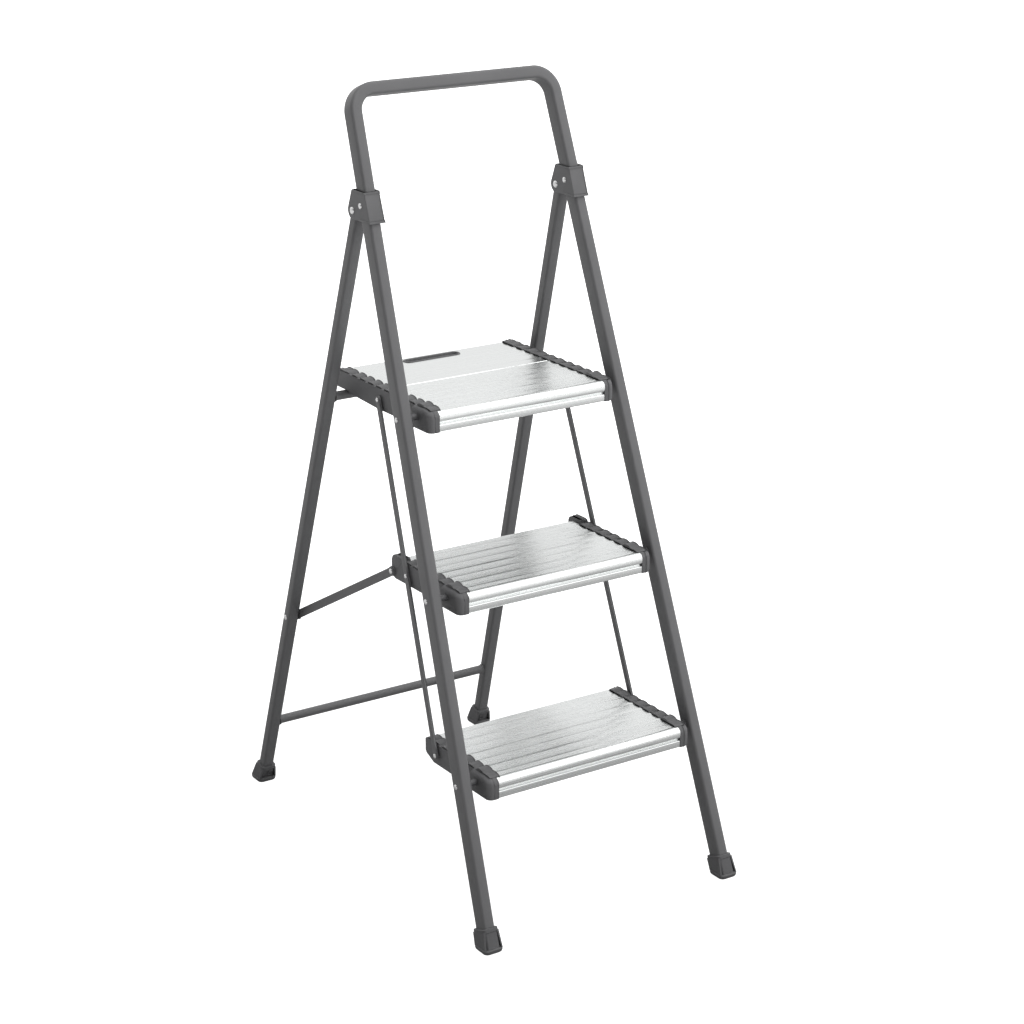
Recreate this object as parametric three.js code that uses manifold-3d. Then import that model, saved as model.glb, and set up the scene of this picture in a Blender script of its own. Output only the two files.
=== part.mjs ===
// Three-tread folding step stool with a bent handrail: steel tube frames, aluminium
// treads with moulded end caps, and a linkage that folds everything at once.
// Millimetres, +Z up, the user climbs from -Y towards +Y, origin on the floor
// at the middle of the footprint.

import * as THREE from 'three';
import { mergeVertices } from 'three/addons/utils/BufferGeometryUtils.js';
import { ConvexGeometry } from 'three/addons/geometries/ConvexGeometry.js';
import Module from 'manifold-3d';

const wasm = await Module();
wasm.setup();

// ---- driving dimensions ----
const RAD = Math.PI / 180;
const GAP = 0.3; // air left between neighbouring solids

const FRONT_LEAN = 19.95 * RAD; // front rails lean back from the vertical
const FRONT_HALF = 200.4; // half spacing of the front rails at the floor
const FRONT_SPLAY = 0.0355; // half spacing lost for each mm of height
const RAIL_WIDTH = 18;
const RAIL_DEPTH = 24;
const TUBE_WALL = 1.2;
const TUBE_CORNER = 4;
const HANDLE_LENGTH = 1173.2; // floor to the handle's centre line, along the rails
const HANDLE_RADIUS = 32; // bend radius of the tube's centre line
const HANDLE_STEPS = 7; // facets in each bend
const TUBE_START = 9; // the tubes end this far above the floor, inside the feet

const REAR_LEAN = 16.56 * RAD;
const REAR_FOOT = 652.4; // rear legs' centre line behind the front rails', on the floor
const REAR_HALF = 199.4;
const REAR_SPLAY = 0.0347;
const LEG_WIDTH = 18;
const LEG_DEPTH = 16;
const HINGE_HEIGHT = 946.9; // axis about which the rear legs fold
const UPPER_BAR_HEIGHT = 663.2;
const LOWER_BAR_HEIGHT = 107.3;
const BAR_RADIUS = 6.6;

const FOOT_WIDTH = 31;
const FOOT_DEPTH = 32;
const FOOT_HEIGHT = 30;
const FOOT_WALL = 2.6;
const FOOT_SOLE = 4;

const BRACKET_WALL = 2.6;
const BRACKET_BOTTOM = 935.5;
const BRACKET_TOP = 976.3;
const BRACKET_FACE = 3; // sleeve stands this proud of the rail's front
const BRACKET_EAR = 12;
const BRACKET_ROOF = 3;
const LEG_PLAY = 0.9;

const PIVOT_BACK = 2; // tread pivots sit this far behind the rails' centre line
const PIVOT_BELOW = 12.2; // and this far below the tread's top face
const LEVELS = { lower: 210.5, middle: 448.8, platform: 682.1 }; // heights of the pivots
const NOSE = -30.6; // front of the tread, measured from its pivot
const TREAD_BACK = 139; // back of the lower and middle treads, from their pivots
const PLATFORM_SEAM = 104;
const PLATFORM_BACK = 228.4;
const SKIN = 2.4; // wall of the aluminium sections
const NOSE_DROP = -17; // underside of the nose
const WEB_FOOT = -8;
const TREAD_CLEAR = 31; // rail's inner face to the end of the aluminium

const CAP_BODY = 12; // end cap outside the aluminium, behind the rail
const CAP_BLOCK = 17.4; // end cap outside the aluminium, in front of the rail
const CAP_CORNER = 8.7;
const CAP_TOP = 13.8;
const CAP_LIP = 5; // lip that covers the ends of the aluminium
const CAP_STEP = -2; // where the block steps in beside the rail
const CAP_BACK = { lower: 140, middle: 153, platform: 235 };

const LINK_ARM = [105.5, -2]; // link rivet, from the tread's pivot
const LINK_HALF = 4;
const LINK_EYE = 5.2;
const LINK_PLAY = 2.4; // the bars lean with the rails, so they stand off the upright caps
const STRAP = 3; // thickness of link bars and braces
const BRACE_RIVET = 297.5; // height of the brace's rivet on the rear leg
const BRACE_ARM = 150.25; // middle tread's pivot to the brace's front rivet
const BRACE_DROP = 3.34 * RAD; // that arm's slope below the horizontal
const BRACE_HALF = 5.5;
const BRACE_EYE = 7;
const BRACE_FLAT = 18; // straight end of the brace round each rivet
const BRACE_PLAY = 1.2; // from the rear end of the brace to the leg
const EAR_RADIUS = 7.4; // ear of the middle cap that holds the brace

const SLOT_HALF = 46; // half length of the finger slot
const SLOT_RADIUS = 7.8;
const SLOT_BACK = 211; // slot's centre, from the platform's pivot
const SLOT_RIM = 2;
const SLOT_DEPTH = 16;

// Rivets: shank radius, and radius and height of the head.
const PIVOT_SHANK = 3.2;
const PIVOT_HEAD = [3.9, 1.9];
const FIXING_SHANK = 2.4;
const FIXING_HEAD = [4.1, 1.8];
const HINGE_SHANK = 3;
const HINGE_HEAD = [5.2, 2.2];
const BRACE_SHANK = 2.4;
const BRACE_HEAD = [4, 1.8];
const LINK_SHANK = 2.2;
const LINK_HEAD = [3.3, 1.6];
const BUSH_RADIUS = 7.6;

const FAR = 230; // past every part on either side, for drills
const FOOTPRINT_MIDDLE = REAR_FOOT / 2;

// ---- materials ----
function finish(color, roughness, metalness) {
  return () => new THREE.MeshStandardMaterial({ color, roughness, metalness });
}
const painted = finish(0x6f7072, 0.5, 0.2);
const aluminium = finish(0xdfe2e2, 0.35, 0.9);
const plastic = finish(0x55565a, 0.6, 0);
const bracketPlastic = finish(0x606164, 0.55, 0);
const rubber = finish(0x505154, 0.8, 0);
const zinc = finish(0xd8d8d8, 0.3, 0.9);

// ---- joining and cutting ----
function solid(geometry) {
  const bare = geometry.clone();
  bare.deleteAttribute('normal');
  bare.deleteAttribute('uv');
  const merged = mergeVertices(bare, 1e-4);
  const mesh = new wasm.Mesh({
    numProp: 3,
    vertProperties: new Float32Array(merged.attributes.position.array),
    triVerts: new Uint32Array(merged.index.array),
  });
  return new wasm.Manifold(mesh);
}

function surface(body) {
  const mesh = body.getMesh();
  const geometry = new THREE.BufferGeometry();
  geometry.setAttribute('position', new THREE.BufferAttribute(mesh.vertProperties, 3));
  geometry.setIndex(new THREE.BufferAttribute(mesh.triVerts, 1));
  return geometry;
}

function cut(body, ...tools) {
  return tools.reduce((left, tool) => left.subtract(tool), body);
}

function join(first, ...others) {
  return others.reduce((whole, other) => whole.add(other), first);
}

function node(name, body, material) {
  const mesh = new THREE.Mesh(surface(body), material());
  mesh.name = name;
  return mesh;
}

// ---- basic shapes ----
function outline(points) {
  return new THREE.Shape(points.map(([a, b]) => new THREE.Vector2(a, b)));
}

// A side view (y, z), pushed out along X from xa to xb.
function slab(shape, xa, xb, curveSegments = 6) {
  const depth = Math.abs(xb - xa);
  const geometry = new THREE.ExtrudeGeometry(shape, { depth, bevelEnabled: false, curveSegments });
  const toSide = new THREE.Matrix4().makeBasis(
    new THREE.Vector3(0, 1, 0),
    new THREE.Vector3(0, 0, 1),
    new THREE.Vector3(1, 0, 0),
  );
  geometry.applyMatrix4(toSide);
  geometry.translate(Math.min(xa, xb), 0, 0);
  return solid(geometry);
}

// A plan view (x, y), pushed up along Z from za to zb.
function plate(shape, za, zb, curveSegments = 6) {
  const options = { depth: zb - za, bevelEnabled: false, curveSegments };
  const geometry = new THREE.ExtrudeGeometry(shape, options);
  geometry.translate(0, 0, za);
  return solid(geometry);
}

function cylinderX(radius, xa, xb, y, z, sides = 16) {
  const geometry = new THREE.CylinderGeometry(radius, radius, Math.abs(xb - xa), sides);
  geometry.rotateZ(Math.PI / 2);
  geometry.translate((xa + xb) / 2, y, z);
  return solid(geometry);
}

function tubeSection(width, depth, corner) {
  const w = width / 2;
  const d = depth / 2;
  const shape = new THREE.Shape();
  shape.moveTo(-d + corner, -w);
  shape.lineTo(d - corner, -w);
  shape.absarc(d - corner, -w + corner, corner, -Math.PI / 2, 0);
  shape.lineTo(d, w - corner);
  shape.absarc(d - corner, w - corner, corner, 0, Math.PI / 2);
  shape.lineTo(-d + corner, w);
  shape.absarc(-d + corner, w - corner, corner, Math.PI / 2, Math.PI);
  shape.lineTo(-d, -w + corner);
  shape.absarc(-d + corner, -w + corner, corner, Math.PI, 1.5 * Math.PI);
  return shape;
}

// A centre line given by stations, each with its own direction.
class Route extends THREE.Curve {
  constructor(stations) {
    super();
    this.stations = stations;
  }

  getPoint(t, target = new THREE.Vector3()) {
    const place = t * (this.stations.length - 1);
    const index = Math.min(Math.floor(place), this.stations.length - 2);
    const [from, to] = [this.stations[index], this.stations[index + 1]];
    return target.copy(from.point).lerp(to.point, place - index);
  }

  getPointAt(u, target) {
    return this.getPoint(u, target);
  }

  getTangentAt(u, target = new THREE.Vector3()) {
    const index = Math.round(u * (this.stations.length - 1));
    return target.copy(this.stations[index].direction);
  }
}

function sweep(route, width, depth, corner) {
  const shape = tubeSection(width, depth, corner);
  const steps = route.stations.length - 1;
  return solid(new THREE.ExtrudeGeometry(shape, { steps, extrudePath: route, curveSegments: 2 }));
}

// ---- frame geometry ----
const frontAlong = [Math.sin(FRONT_LEAN), Math.cos(FRONT_LEAN)];
const frontSlope = FRONT_SPLAY * Math.cos(FRONT_LEAN);
const rearAlong = [-Math.sin(REAR_LEAN), Math.cos(REAR_LEAN)];
const rearSlope = REAR_SPLAY * Math.cos(REAR_LEAN);
const sides = { left: -1, right: 1 };

function frontHalf(height) {
  return FRONT_HALF - FRONT_SPLAY * height;
}

function rearHalf(height) {
  return REAR_HALF - REAR_SPLAY * height;
}

// Point on the rear legs' centre line, as [y, z].
function onRearLeg(height) {
  return [REAR_FOOT - height * Math.tan(REAR_LEAN), height];
}

function treadPivot(level) {
  const height = LEVELS[level];
  return [height * Math.tan(FRONT_LEAN) + PIVOT_BACK / Math.cos(FRONT_LEAN), height];
}

function treadHalf(level) {
  return frontHalf(LEVELS[level]) - RAIL_WIDTH / 2 - TREAD_CLEAR;
}

const hinge = onRearLeg(HINGE_HEIGHT);

function leanBack(body, lean) {
  return body.rotate([90 - lean / RAD, 0, 0]);
}

// ---- front frame ----
function frameRoute(extra) {
  const start = TUBE_START - extra;
  const tilt = Math.atan(frontSlope);
  const turn = Math.PI / 2 - tilt;
  const half = FRONT_HALF - frontSlope * HANDLE_LENGTH;
  const tangent = HANDLE_RADIUS * Math.tan(turn / 2);
  const along = new THREE.Vector3(Math.sin(tilt), Math.cos(tilt), 0);
  const corner = new THREE.Vector3(-half, HANDLE_LENGTH, 0);
  const bendStart = corner.clone().addScaledVector(along, -tangent);
  const inward = new THREE.Vector3(along.y, -along.x, 0);
  const centre = bendStart.clone().addScaledVector(inward, HANDLE_RADIUS);
  const foot = new THREE.Vector3(-FRONT_HALF + frontSlope * start, start, 0);
  const left = [{ point: foot, direction: along }];
  for (let i = 0; i <= HANDLE_STEPS; i += 1) {
    const angle = Math.PI - tilt - (turn * i) / HANDLE_STEPS;
    const radial = new THREE.Vector3(Math.cos(angle), Math.sin(angle), 0);
    const direction = new THREE.Vector3(radial.y, -radial.x, 0);
    left.push({ point: centre.clone().addScaledVector(radial, HANDLE_RADIUS), direction });
  }
  const flip = ({ point, direction }) => ({
    point: new THREE.Vector3(-point.x, point.y, 0),
    direction: new THREE.Vector3(direction.x, -direction.y, 0),
  });
  return new Route([...left, ...left.map(flip).reverse()]);
}

function railEnvelope(grow) {
  const body = sweep(frameRoute(0), RAIL_WIDTH + 2 * grow, RAIL_DEPTH + 2 * grow, TUBE_CORNER);
  return leanBack(body, FRONT_LEAN);
}

function frontFrame() {
  const tube = railEnvelope(0);
  const bore = sweep(
    frameRoute(1),
    RAIL_WIDTH - 2 * TUBE_WALL,
    RAIL_DEPTH - 2 * TUBE_WALL,
    TUBE_CORNER - TUBE_WALL,
  );
  const holes = [];
  for (const level of Object.keys(LEVELS)) {
    const [y, z] = treadPivot(level);
    holes.push(cylinderX(PIVOT_SHANK + GAP, -FAR, FAR, y, z, 12));
  }
  holes.push(cylinderX(FIXING_SHANK + GAP, -FAR, FAR, ...fixingPoint(), 12));
  return cut(tube, leanBack(bore, FRONT_LEAN), ...holes);
}

// ---- rear frame ----
function legRoute(side, from, to) {
  const direction = new THREE.Vector3(-side * rearSlope, 1, 0).normalize();
  const at = (s) => new THREE.Vector3(side * (REAR_HALF - rearSlope * s), s, 0);
  return new Route([from, to].map((s) => ({ point: at(s), direction })));
}

function placeLeg(body) {
  return body.rotate([90 + REAR_LEAN / RAD, 0, 0]).translate([0, REAR_FOOT, 0]);
}

const HINGE_ALONG = HINGE_HEIGHT / Math.cos(REAR_LEAN);
const LEG_TOP = HINGE_ALONG + LEG_DEPTH / 2;

function legEnvelope(side, grow) {
  const route = legRoute(side, TUBE_START, LEG_TOP);
  return placeLeg(sweep(route, LEG_WIDTH + 2 * grow, LEG_DEPTH + 2 * grow, TUBE_CORNER));
}

function rearLeg(side) {
  const bore = sweep(
    legRoute(side, TUBE_START - 1, LEG_TOP + 1),
    LEG_WIDTH - 2 * TUBE_WALL,
    LEG_DEPTH - 2 * TUBE_WALL,
    TUBE_CORNER - TUBE_WALL,
  );
  const far = side * FAR;
  return cut(
    legEnvelope(side, 0),
    placeLeg(bore),
    cylinderX(HINGE_SHANK + GAP, 0, far, ...hinge, 12),
    cylinderX(BRACE_SHANK + GAP, 0, far, ...onRearLeg(BRACE_RIVET), 12),
  );
}

function crossbar(height) {
  const reach = rearHalf(height) - LEG_WIDTH / 2 - 2 * GAP;
  return cylinderX(BAR_RADIUS, -reach, reach, ...onRearLeg(height), 16);
}

// ---- feet ----
function ring(width, depth, corner) {
  return tubeSection(width, depth, corner).getPoints(2).map((p) => [p.y, p.x]);
}

// A boot that widens from the tube down to a flat sole on the floor.
function boot(side, half, slope, lean, footY) {
  const sign = lean === FRONT_LEAN ? 1 : -1;
  const depth = sign > 0 ? RAIL_DEPTH : LEG_DEPTH;
  const points = [];
  const along = [sign * Math.sin(lean), Math.cos(lean)];
  const across = [Math.cos(lean), -sign * Math.sin(lean)];
  const at = (s, [x, n]) => new THREE.Vector3(
    side * (half - slope * s) + x,
    footY + s * along[0] + n * across[0],
    s * along[1] + n * across[1],
  );
  for (const p of ring(RAIL_WIDTH + 2 * FOOT_WALL, depth + 2 * FOOT_WALL, TUBE_CORNER)) {
    points.push(at(FOOT_HEIGHT, p));
  }
  for (const [x, y] of ring(FOOT_WIDTH, FOOT_DEPTH, TUBE_CORNER)) {
    points.push(new THREE.Vector3(side * half + x, footY + y, 0));
    points.push(new THREE.Vector3(side * half + x, footY + y, FOOT_SOLE));
  }
  return solid(new ConvexGeometry(points));
}

function frontFoot(side) {
  return cut(boot(side, FRONT_HALF, frontSlope, FRONT_LEAN, 0), railEnvelope(GAP));
}

function rearFoot(side) {
  return cut(boot(side, REAR_HALF, rearSlope, REAR_LEAN, REAR_FOOT), legEnvelope(side, GAP));
}

// ---- hinge brackets ----

// Point beside the rail: distance behind its centre line, at a height.
function besideRail(behind, height) {
  return [(behind + height * frontAlong[0]) / frontAlong[1], height];
}

function fixingPoint() {
  return besideRail(1.6, 956.6);
}

function bracketShape() {
  const face = -RAIL_DEPTH / 2 - BRACKET_FACE;
  const shape = new THREE.Shape();
  shape.moveTo(...besideRail(face, BRACKET_BOTTOM));
  shape.lineTo(hinge[0] - 17, BRACKET_BOTTOM);
  shape.lineTo(hinge[0] - 3, hinge[1] - BRACKET_EAR);
  shape.absarc(hinge[0], hinge[1], BRACKET_EAR, -0.42 * Math.PI, 0.1 * Math.PI);
  shape.lineTo(hinge[0] + 1, BRACKET_TOP);
  shape.lineTo(...besideRail(face, BRACKET_TOP));
  return shape;
}

function bracket(side) {
  const middle = frontHalf((BRACKET_TOP + BRACKET_BOTTOM) / 2);
  const reach = RAIL_WIDTH / 2 + BRACKET_WALL;
  const block = slab(bracketShape(), side * (middle - reach), side * (middle + reach), 8);
  const roof = BRACKET_TOP - BRACKET_ROOF;
  const slot = outline([
    besideRail(0, BRACKET_BOTTOM - 5),
    [hinge[0] + 40, BRACKET_BOTTOM - 5],
    [hinge[0] + 40, roof],
    besideRail(0, roof),
  ]);
  const clear = LEG_WIDTH / 2 + LEG_PLAY;
  const centre = rearHalf(HINGE_HEIGHT);
  return cut(
    block,
    railEnvelope(GAP),
    slab(slot, side * (centre - clear), side * (centre + clear)),
    cylinderX(HINGE_SHANK + GAP, 0, side * FAR, ...hinge, 12),
    cylinderX(FIXING_SHANK + GAP, 0, side * FAR, ...fixingPoint(), 12),
  );
}

// ---- rivets ----

// A round-headed rivet along X. The head sits outside x = head and the shank ends at
// x = tail; a second head closes the tail when twoHeads is set.
function rivet(radius, headRadius, headHeight, head, tail, twoHeads = false) {
  const length = Math.abs(head - tail);
  const dome = (sign, from) => [
    new THREE.Vector2(headRadius, from),
    new THREE.Vector2(headRadius * 0.93, from + sign * headHeight * 0.45),
    new THREE.Vector2(headRadius * 0.62, from + sign * headHeight * 0.86),
    new THREE.Vector2(0, from + sign * headHeight),
  ];
  const start = twoHeads ? dome(-1, 0).reverse() : [new THREE.Vector2(0, 0)];
  const profile = [
    ...start,
    new THREE.Vector2(radius, 0),
    new THREE.Vector2(radius, length),
    ...dome(1, length),
  ];
  const geometry = new THREE.LatheGeometry(profile, 14);
  const outward = Math.sign(head - tail);
  geometry.rotateZ(-outward * Math.PI / 2);
  geometry.translate(tail, 0, 0);
  return solid(geometry);
}

function place(body, [y, z]) {
  return body.translate([0, y, z]);
}

function pivotRivet(side, level) {
  const half = frontHalf(LEVELS[level]);
  const head = side * (half + RAIL_WIDTH / 2 + 2 * GAP);
  const tail = side * (treadHalf(level) + 2);
  return place(rivet(PIVOT_SHANK, ...PIVOT_HEAD, head, tail), treadPivot(level));
}

function pivotBush(side, level) {
  const from = side * (treadHalf(level) + CAP_BODY + GAP);
  const to = side * (frontHalf(LEVELS[level]) - RAIL_WIDTH / 2 - 2 * GAP);
  const at = treadPivot(level);
  const hole = cylinderX(PIVOT_SHANK + GAP, from - 9 * side, to + 9 * side, ...at, 14);
  return cut(cylinderX(BUSH_RADIUS, from, to, ...at, 20), hole);
}

function hingeRivet(side) {
  const middle = frontHalf((BRACKET_TOP + BRACKET_BOTTOM) / 2);
  const reach = RAIL_WIDTH / 2 + BRACKET_WALL + GAP;
  const body = rivet(HINGE_SHANK, ...HINGE_HEAD, side * (middle + reach), side * (middle - reach), true);
  return place(body, hinge);
}

function fixingRivet(side) {
  const middle = frontHalf((BRACKET_TOP + BRACKET_BOTTOM) / 2);
  const reach = RAIL_WIDTH / 2 + BRACKET_WALL + GAP;
  const body = rivet(FIXING_SHANK, ...FIXING_HEAD, side * (middle + reach), side * (middle - reach), true);
  return place(body, fixingPoint());
}

// ---- aluminium sections, in (y, z) from the tread's pivot ----
function noseShape(back, webs) {
  const top = PIVOT_BELOW;
  const inner = top - SKIN;
  const front = NOSE + SKIN;
  const shape = new THREE.Shape();
  shape.moveTo(back, top);
  shape.lineTo(NOSE + 8, top);
  shape.quadraticCurveTo(NOSE + 0.6, top - 0.6, NOSE, top - 12);
  shape.lineTo(NOSE, -3);
  shape.lineTo(NOSE + 1.4, -4.4);
  shape.lineTo(NOSE + 1.4, -7.4);
  shape.lineTo(NOSE, -8.8);
  shape.lineTo(NOSE + 0.6, NOSE_DROP);
  shape.lineTo(front + 3, NOSE_DROP);
  shape.lineTo(front + 3, NOSE_DROP + 2);
  shape.lineTo(front + 1.4, NOSE_DROP + 2);
  shape.lineTo(front + 1.4, inner - 5);
  shape.lineTo(front + 6, inner);
  addWebs(shape, webs, inner);
  shape.lineTo(back - SKIN, inner);
  shape.lineTo(back - SKIN, NOSE_DROP + 7);
  shape.lineTo(back, NOSE_DROP + 7);
  return shape;
}

function addWebs(shape, webs, inner) {
  for (const y of webs) {
    shape.lineTo(y, inner);
    shape.lineTo(y, WEB_FOOT);
    shape.lineTo(y + 2, WEB_FOOT);
    shape.lineTo(y + 2, inner);
  }
}

function tread(level) {
  const half = treadHalf(level);
  return slab(noseShape(TREAD_BACK, [12, 54, 96]), -half, half, 5);
}

function platformFront() {
  const half = treadHalf('platform');
  return slab(noseShape(PLATFORM_SEAM - GAP, [12, 56]), -half, half, 5);
}

function platformRear() {
  const half = treadHalf('platform');
  const front = PLATFORM_SEAM + GAP;
  const inner = PIVOT_BELOW - SKIN;
  const foot = NOSE_DROP + 8;
  const shape = new THREE.Shape();
  shape.moveTo(PLATFORM_BACK, PIVOT_BELOW);
  shape.lineTo(front, PIVOT_BELOW);
  shape.lineTo(front, foot);
  shape.lineTo(front + SKIN, foot);
  shape.lineTo(front + SKIN, inner);
  addWebs(shape, [148, 190], inner);
  shape.lineTo(PLATFORM_BACK - SKIN, inner);
  shape.lineTo(PLATFORM_BACK - SKIN, foot + 4);
  shape.lineTo(PLATFORM_BACK, foot + 4);
  const opening = plate(obround(SLOT_HALF + GAP, SLOT_RADIUS + GAP, SLOT_BACK), -40, 40);
  return cut(slab(shape, -half, half), opening);
}

// A slot outline in plan: halfLength overall, round ends, centred at y.
function obround(halfLength, radius, y) {
  const reach = halfLength - radius;
  const shape = new THREE.Shape();
  shape.absarc(reach, y, radius, -Math.PI / 2, Math.PI / 2);
  shape.absarc(-reach, y, radius, Math.PI / 2, 1.5 * Math.PI);
  return shape;
}

function gripLiner() {
  const top = PIVOT_BELOW;
  const inside = obround(SLOT_HALF - SLOT_RIM, SLOT_RADIUS - SLOT_RIM, SLOT_BACK);
  return cut(
    plate(obround(SLOT_HALF, SLOT_RADIUS, SLOT_BACK), top - SLOT_DEPTH, top),
    plate(inside, top - SLOT_DEPTH - 1, top + 1),
  );
}

// ---- end caps, in (y, z) from the tread's pivot ----
const braceArm = [BRACE_ARM * Math.cos(BRACE_DROP), -BRACE_ARM * Math.sin(BRACE_DROP)];

const capTail = {
  lower: (shape) => {
    shape.lineTo(CAP_BACK.lower, CAP_TOP);
    shape.lineTo(CAP_BACK.lower, -9);
    shape.lineTo(122, -16.6);
  },
  middle: (shape) => {
    shape.lineTo(122, CAP_TOP);
    shape.quadraticCurveTo(128, 16.4, 137, 16.6);
    shape.quadraticCurveTo(CAP_BACK.middle, 16, CAP_BACK.middle, 4);
    shape.lineTo(CAP_BACK.middle, -9);
    shape.quadraticCurveTo(CAP_BACK.middle, -18, 141, -18);
    shape.lineTo(118, -17.2);
  },
  platform: (shape) => {
    shape.lineTo(227, CAP_TOP);
    shape.quadraticCurveTo(CAP_BACK.platform, 13, CAP_BACK.platform, 6);
    shape.lineTo(CAP_BACK.platform, -6);
    shape.lineTo(229, -11.6);
    shape.lineTo(195, -11.6);
    shape.lineTo(189, -14);
    shape.lineTo(118, -16.8);
  },
};

function capSide(level) {
  const front = NOSE - 0.9;
  const shape = new THREE.Shape();
  shape.moveTo(front, NOSE_DROP - 0.6);
  shape.lineTo(front, 1);
  shape.quadraticCurveTo(front + 0.6, CAP_TOP - 0.6, NOSE + 9, CAP_TOP);
  shape.lineTo(-7, CAP_TOP);
  shape.quadraticCurveTo(-1, CAP_TOP + 3.4, 5, CAP_TOP + 3.4);
  shape.quadraticCurveTo(11, CAP_TOP + 3.4, 16, CAP_TOP);
  capTail[level](shape);
  return shape;
}

// Plan of the cap for the right-hand side: block in front of the rail, body behind it.
function capPlan(level) {
  const half = treadHalf(level);
  const front = NOSE - 0.9;
  const block = half + CAP_BLOCK;
  const shape = new THREE.Shape();
  shape.moveTo(half + GAP, CAP_BACK[level] + 1);
  shape.lineTo(half + GAP, front);
  shape.lineTo(block - CAP_CORNER, front);
  shape.absarc(block - CAP_CORNER, front + CAP_CORNER, CAP_CORNER, -Math.PI / 2, 0);
  shape.lineTo(block, CAP_STEP);
  shape.lineTo(half + CAP_BODY, CAP_STEP);
  shape.lineTo(half + CAP_BODY, CAP_BACK[level] + 1);
  return shape;
}

function capLip(level, side) {
  const half = treadHalf(level);
  const back = level === 'platform' ? PLATFORM_BACK : TREAD_BACK;
  const under = PIVOT_BELOW + GAP;
  const shape = outline([[NOSE + 10, under], [back, under], [back, CAP_TOP], [NOSE + 10, CAP_TOP]]);
  return slab(shape, side * (half - CAP_LIP), side * (half + 1));
}

function endCap(level, side) {
  const half = treadHalf(level);
  const block = side * (half + CAP_BLOCK);
  const seen = plate(capPlan(level), -40, 40);
  const far = side * (half + CAP_BLOCK + 5);
  const near = side * (half + 1.5);
  const tall = slab(capSide(level), 0, block);
  const body = tall.intersect(side > 0 ? seen : seen.mirror([1, 0, 0]));
  const whole = join(body, capLip(level, side));
  const ear = eye(EAR_RADIUS, side * (half + GAP), side * (half + CAP_BODY), braceArm);
  const hole = eye(BRACE_SHANK + GAP, near, far, braceArm);
  return cut(
    level === 'middle' ? cut(join(whole, ear), hole) : whole,
    cylinderX(PIVOT_SHANK + GAP, near, far, 0, 0, 14),
    cylinderX(BUSH_RADIUS + GAP, side * (half + CAP_BODY), far, 0, 0, 20),
    cylinderX(LINK_SHANK + GAP, near, far, ...LINK_ARM, 12),
  );
}

// ---- link bars and braces ----
function eye(radius, from, to, [y, z]) {
  return cylinderX(radius, from, to, y, z, 16);
}

function bar(halfWidth, from, to, [ya, za], [yb, zb]) {
  const length = Math.hypot(yb - ya, zb - za);
  const [ny, nz] = [(-(zb - za) / length) * halfWidth, ((yb - ya) / length) * halfWidth];
  const shape = outline([
    [ya - ny, za - nz],
    [yb - ny, zb - nz],
    [yb + ny, zb + nz],
    [ya + ny, za + nz],
  ]);
  return slab(shape, from, to);
}

function linkPoint(level) {
  const [y, z] = treadPivot(level);
  return [y + LINK_ARM[0], z + LINK_ARM[1]];
}

// The two link bars lie beside the caps and follow the splay of the rails.
function linkBar(side) {
  const inner = treadHalf('middle') + CAP_BODY + LINK_PLAY;
  const [from, to] = [side * inner, side * (inner + STRAP)];
  const levels = Object.keys(LEVELS);
  const flat = join(
    bar(LINK_HALF, from, to, linkPoint('lower'), linkPoint('platform')),
    ...levels.map((level) => eye(LINK_EYE, from, to, linkPoint(level))),
  );
  const holes = levels.map((level) => (
    cylinderX(LINK_SHANK + GAP, from - side, to + side, ...linkPoint(level), 12)
  ));
  const splay = (point) => {
    point[0] -= side * FRONT_SPLAY * (point[2] - LEVELS.middle);
  };
  return cut(flat, ...holes).warp(splay);
}

function linkRivet(side, level) {
  const half = treadHalf(level);
  const head = side * (half + CAP_BODY + LINK_PLAY + STRAP + 2 * GAP);
  const body = rivet(LINK_SHANK, ...LINK_HEAD, head, side * (half + 3));
  return place(body, linkPoint(level));
}

function braceFront() {
  const [y, z] = treadPivot('middle');
  return [y + braceArm[0], z + braceArm[1]];
}

// A flat strap: it lies against the middle cap in front and against the leg behind,
// and is cranked outward between its two straight ends.
function brace(side) {
  const front = braceFront();
  const rear = onRearLeg(BRACE_RIVET);
  const inner = treadHalf('middle') + CAP_BODY + GAP;
  const outer = rearHalf(BRACE_RIVET) - LEG_WIDTH / 2 - BRACE_PLAY - STRAP;
  const reach = [side * (inner - 1), side * (outer + STRAP + 1)];
  const flat = join(
    bar(BRACE_HALF, ...reach, front, rear),
    eye(BRACE_EYE, ...reach, front),
    eye(BRACE_EYE, ...reach, rear),
  );
  const cosine = Math.abs(rear[0] - front[0]) / Math.hypot(rear[0] - front[0], rear[1] - front[1]);
  const bend = BRACE_FLAT * cosine;
  const plan = [
    [inner, front[0] - BRACE_EYE - 2],
    [inner + STRAP, front[0] - BRACE_EYE - 2],
    [inner + STRAP, front[0] + bend],
    [outer + STRAP, rear[0] - bend],
    [outer + STRAP, rear[0] + BRACE_EYE + 2],
    [outer, rear[0] + BRACE_EYE + 2],
    [outer, rear[0] - bend],
    [inner, front[0] + bend],
  ].map(([x, y]) => [side * x, y]);
  const [low, high] = [rear[1] - 30, front[1] + 30];
  return cut(
    flat.intersect(plate(outline(plan), low, high)),
    eye(BRACE_SHANK + GAP, reach[0], reach[1], front),
  );
}

function braceFrontRivet(side) {
  const half = treadHalf('middle');
  const head = side * (half + CAP_BODY + STRAP + 3 * GAP);
  return place(rivet(BRACE_SHANK, ...BRACE_HEAD, head, side * (half + 3)), braceFront());
}

function braceLegRivet(side) {
  const half = rearHalf(BRACE_RIVET);
  const head = side * (half + LEG_WIDTH / 2 + 2 * GAP);
  const tail = side * (half - LEG_WIDTH / 2 + GAP);
  return place(rivet(BRACE_SHANK, ...BRACE_HEAD, head, tail), onRearLeg(BRACE_RIVET));
}

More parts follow.
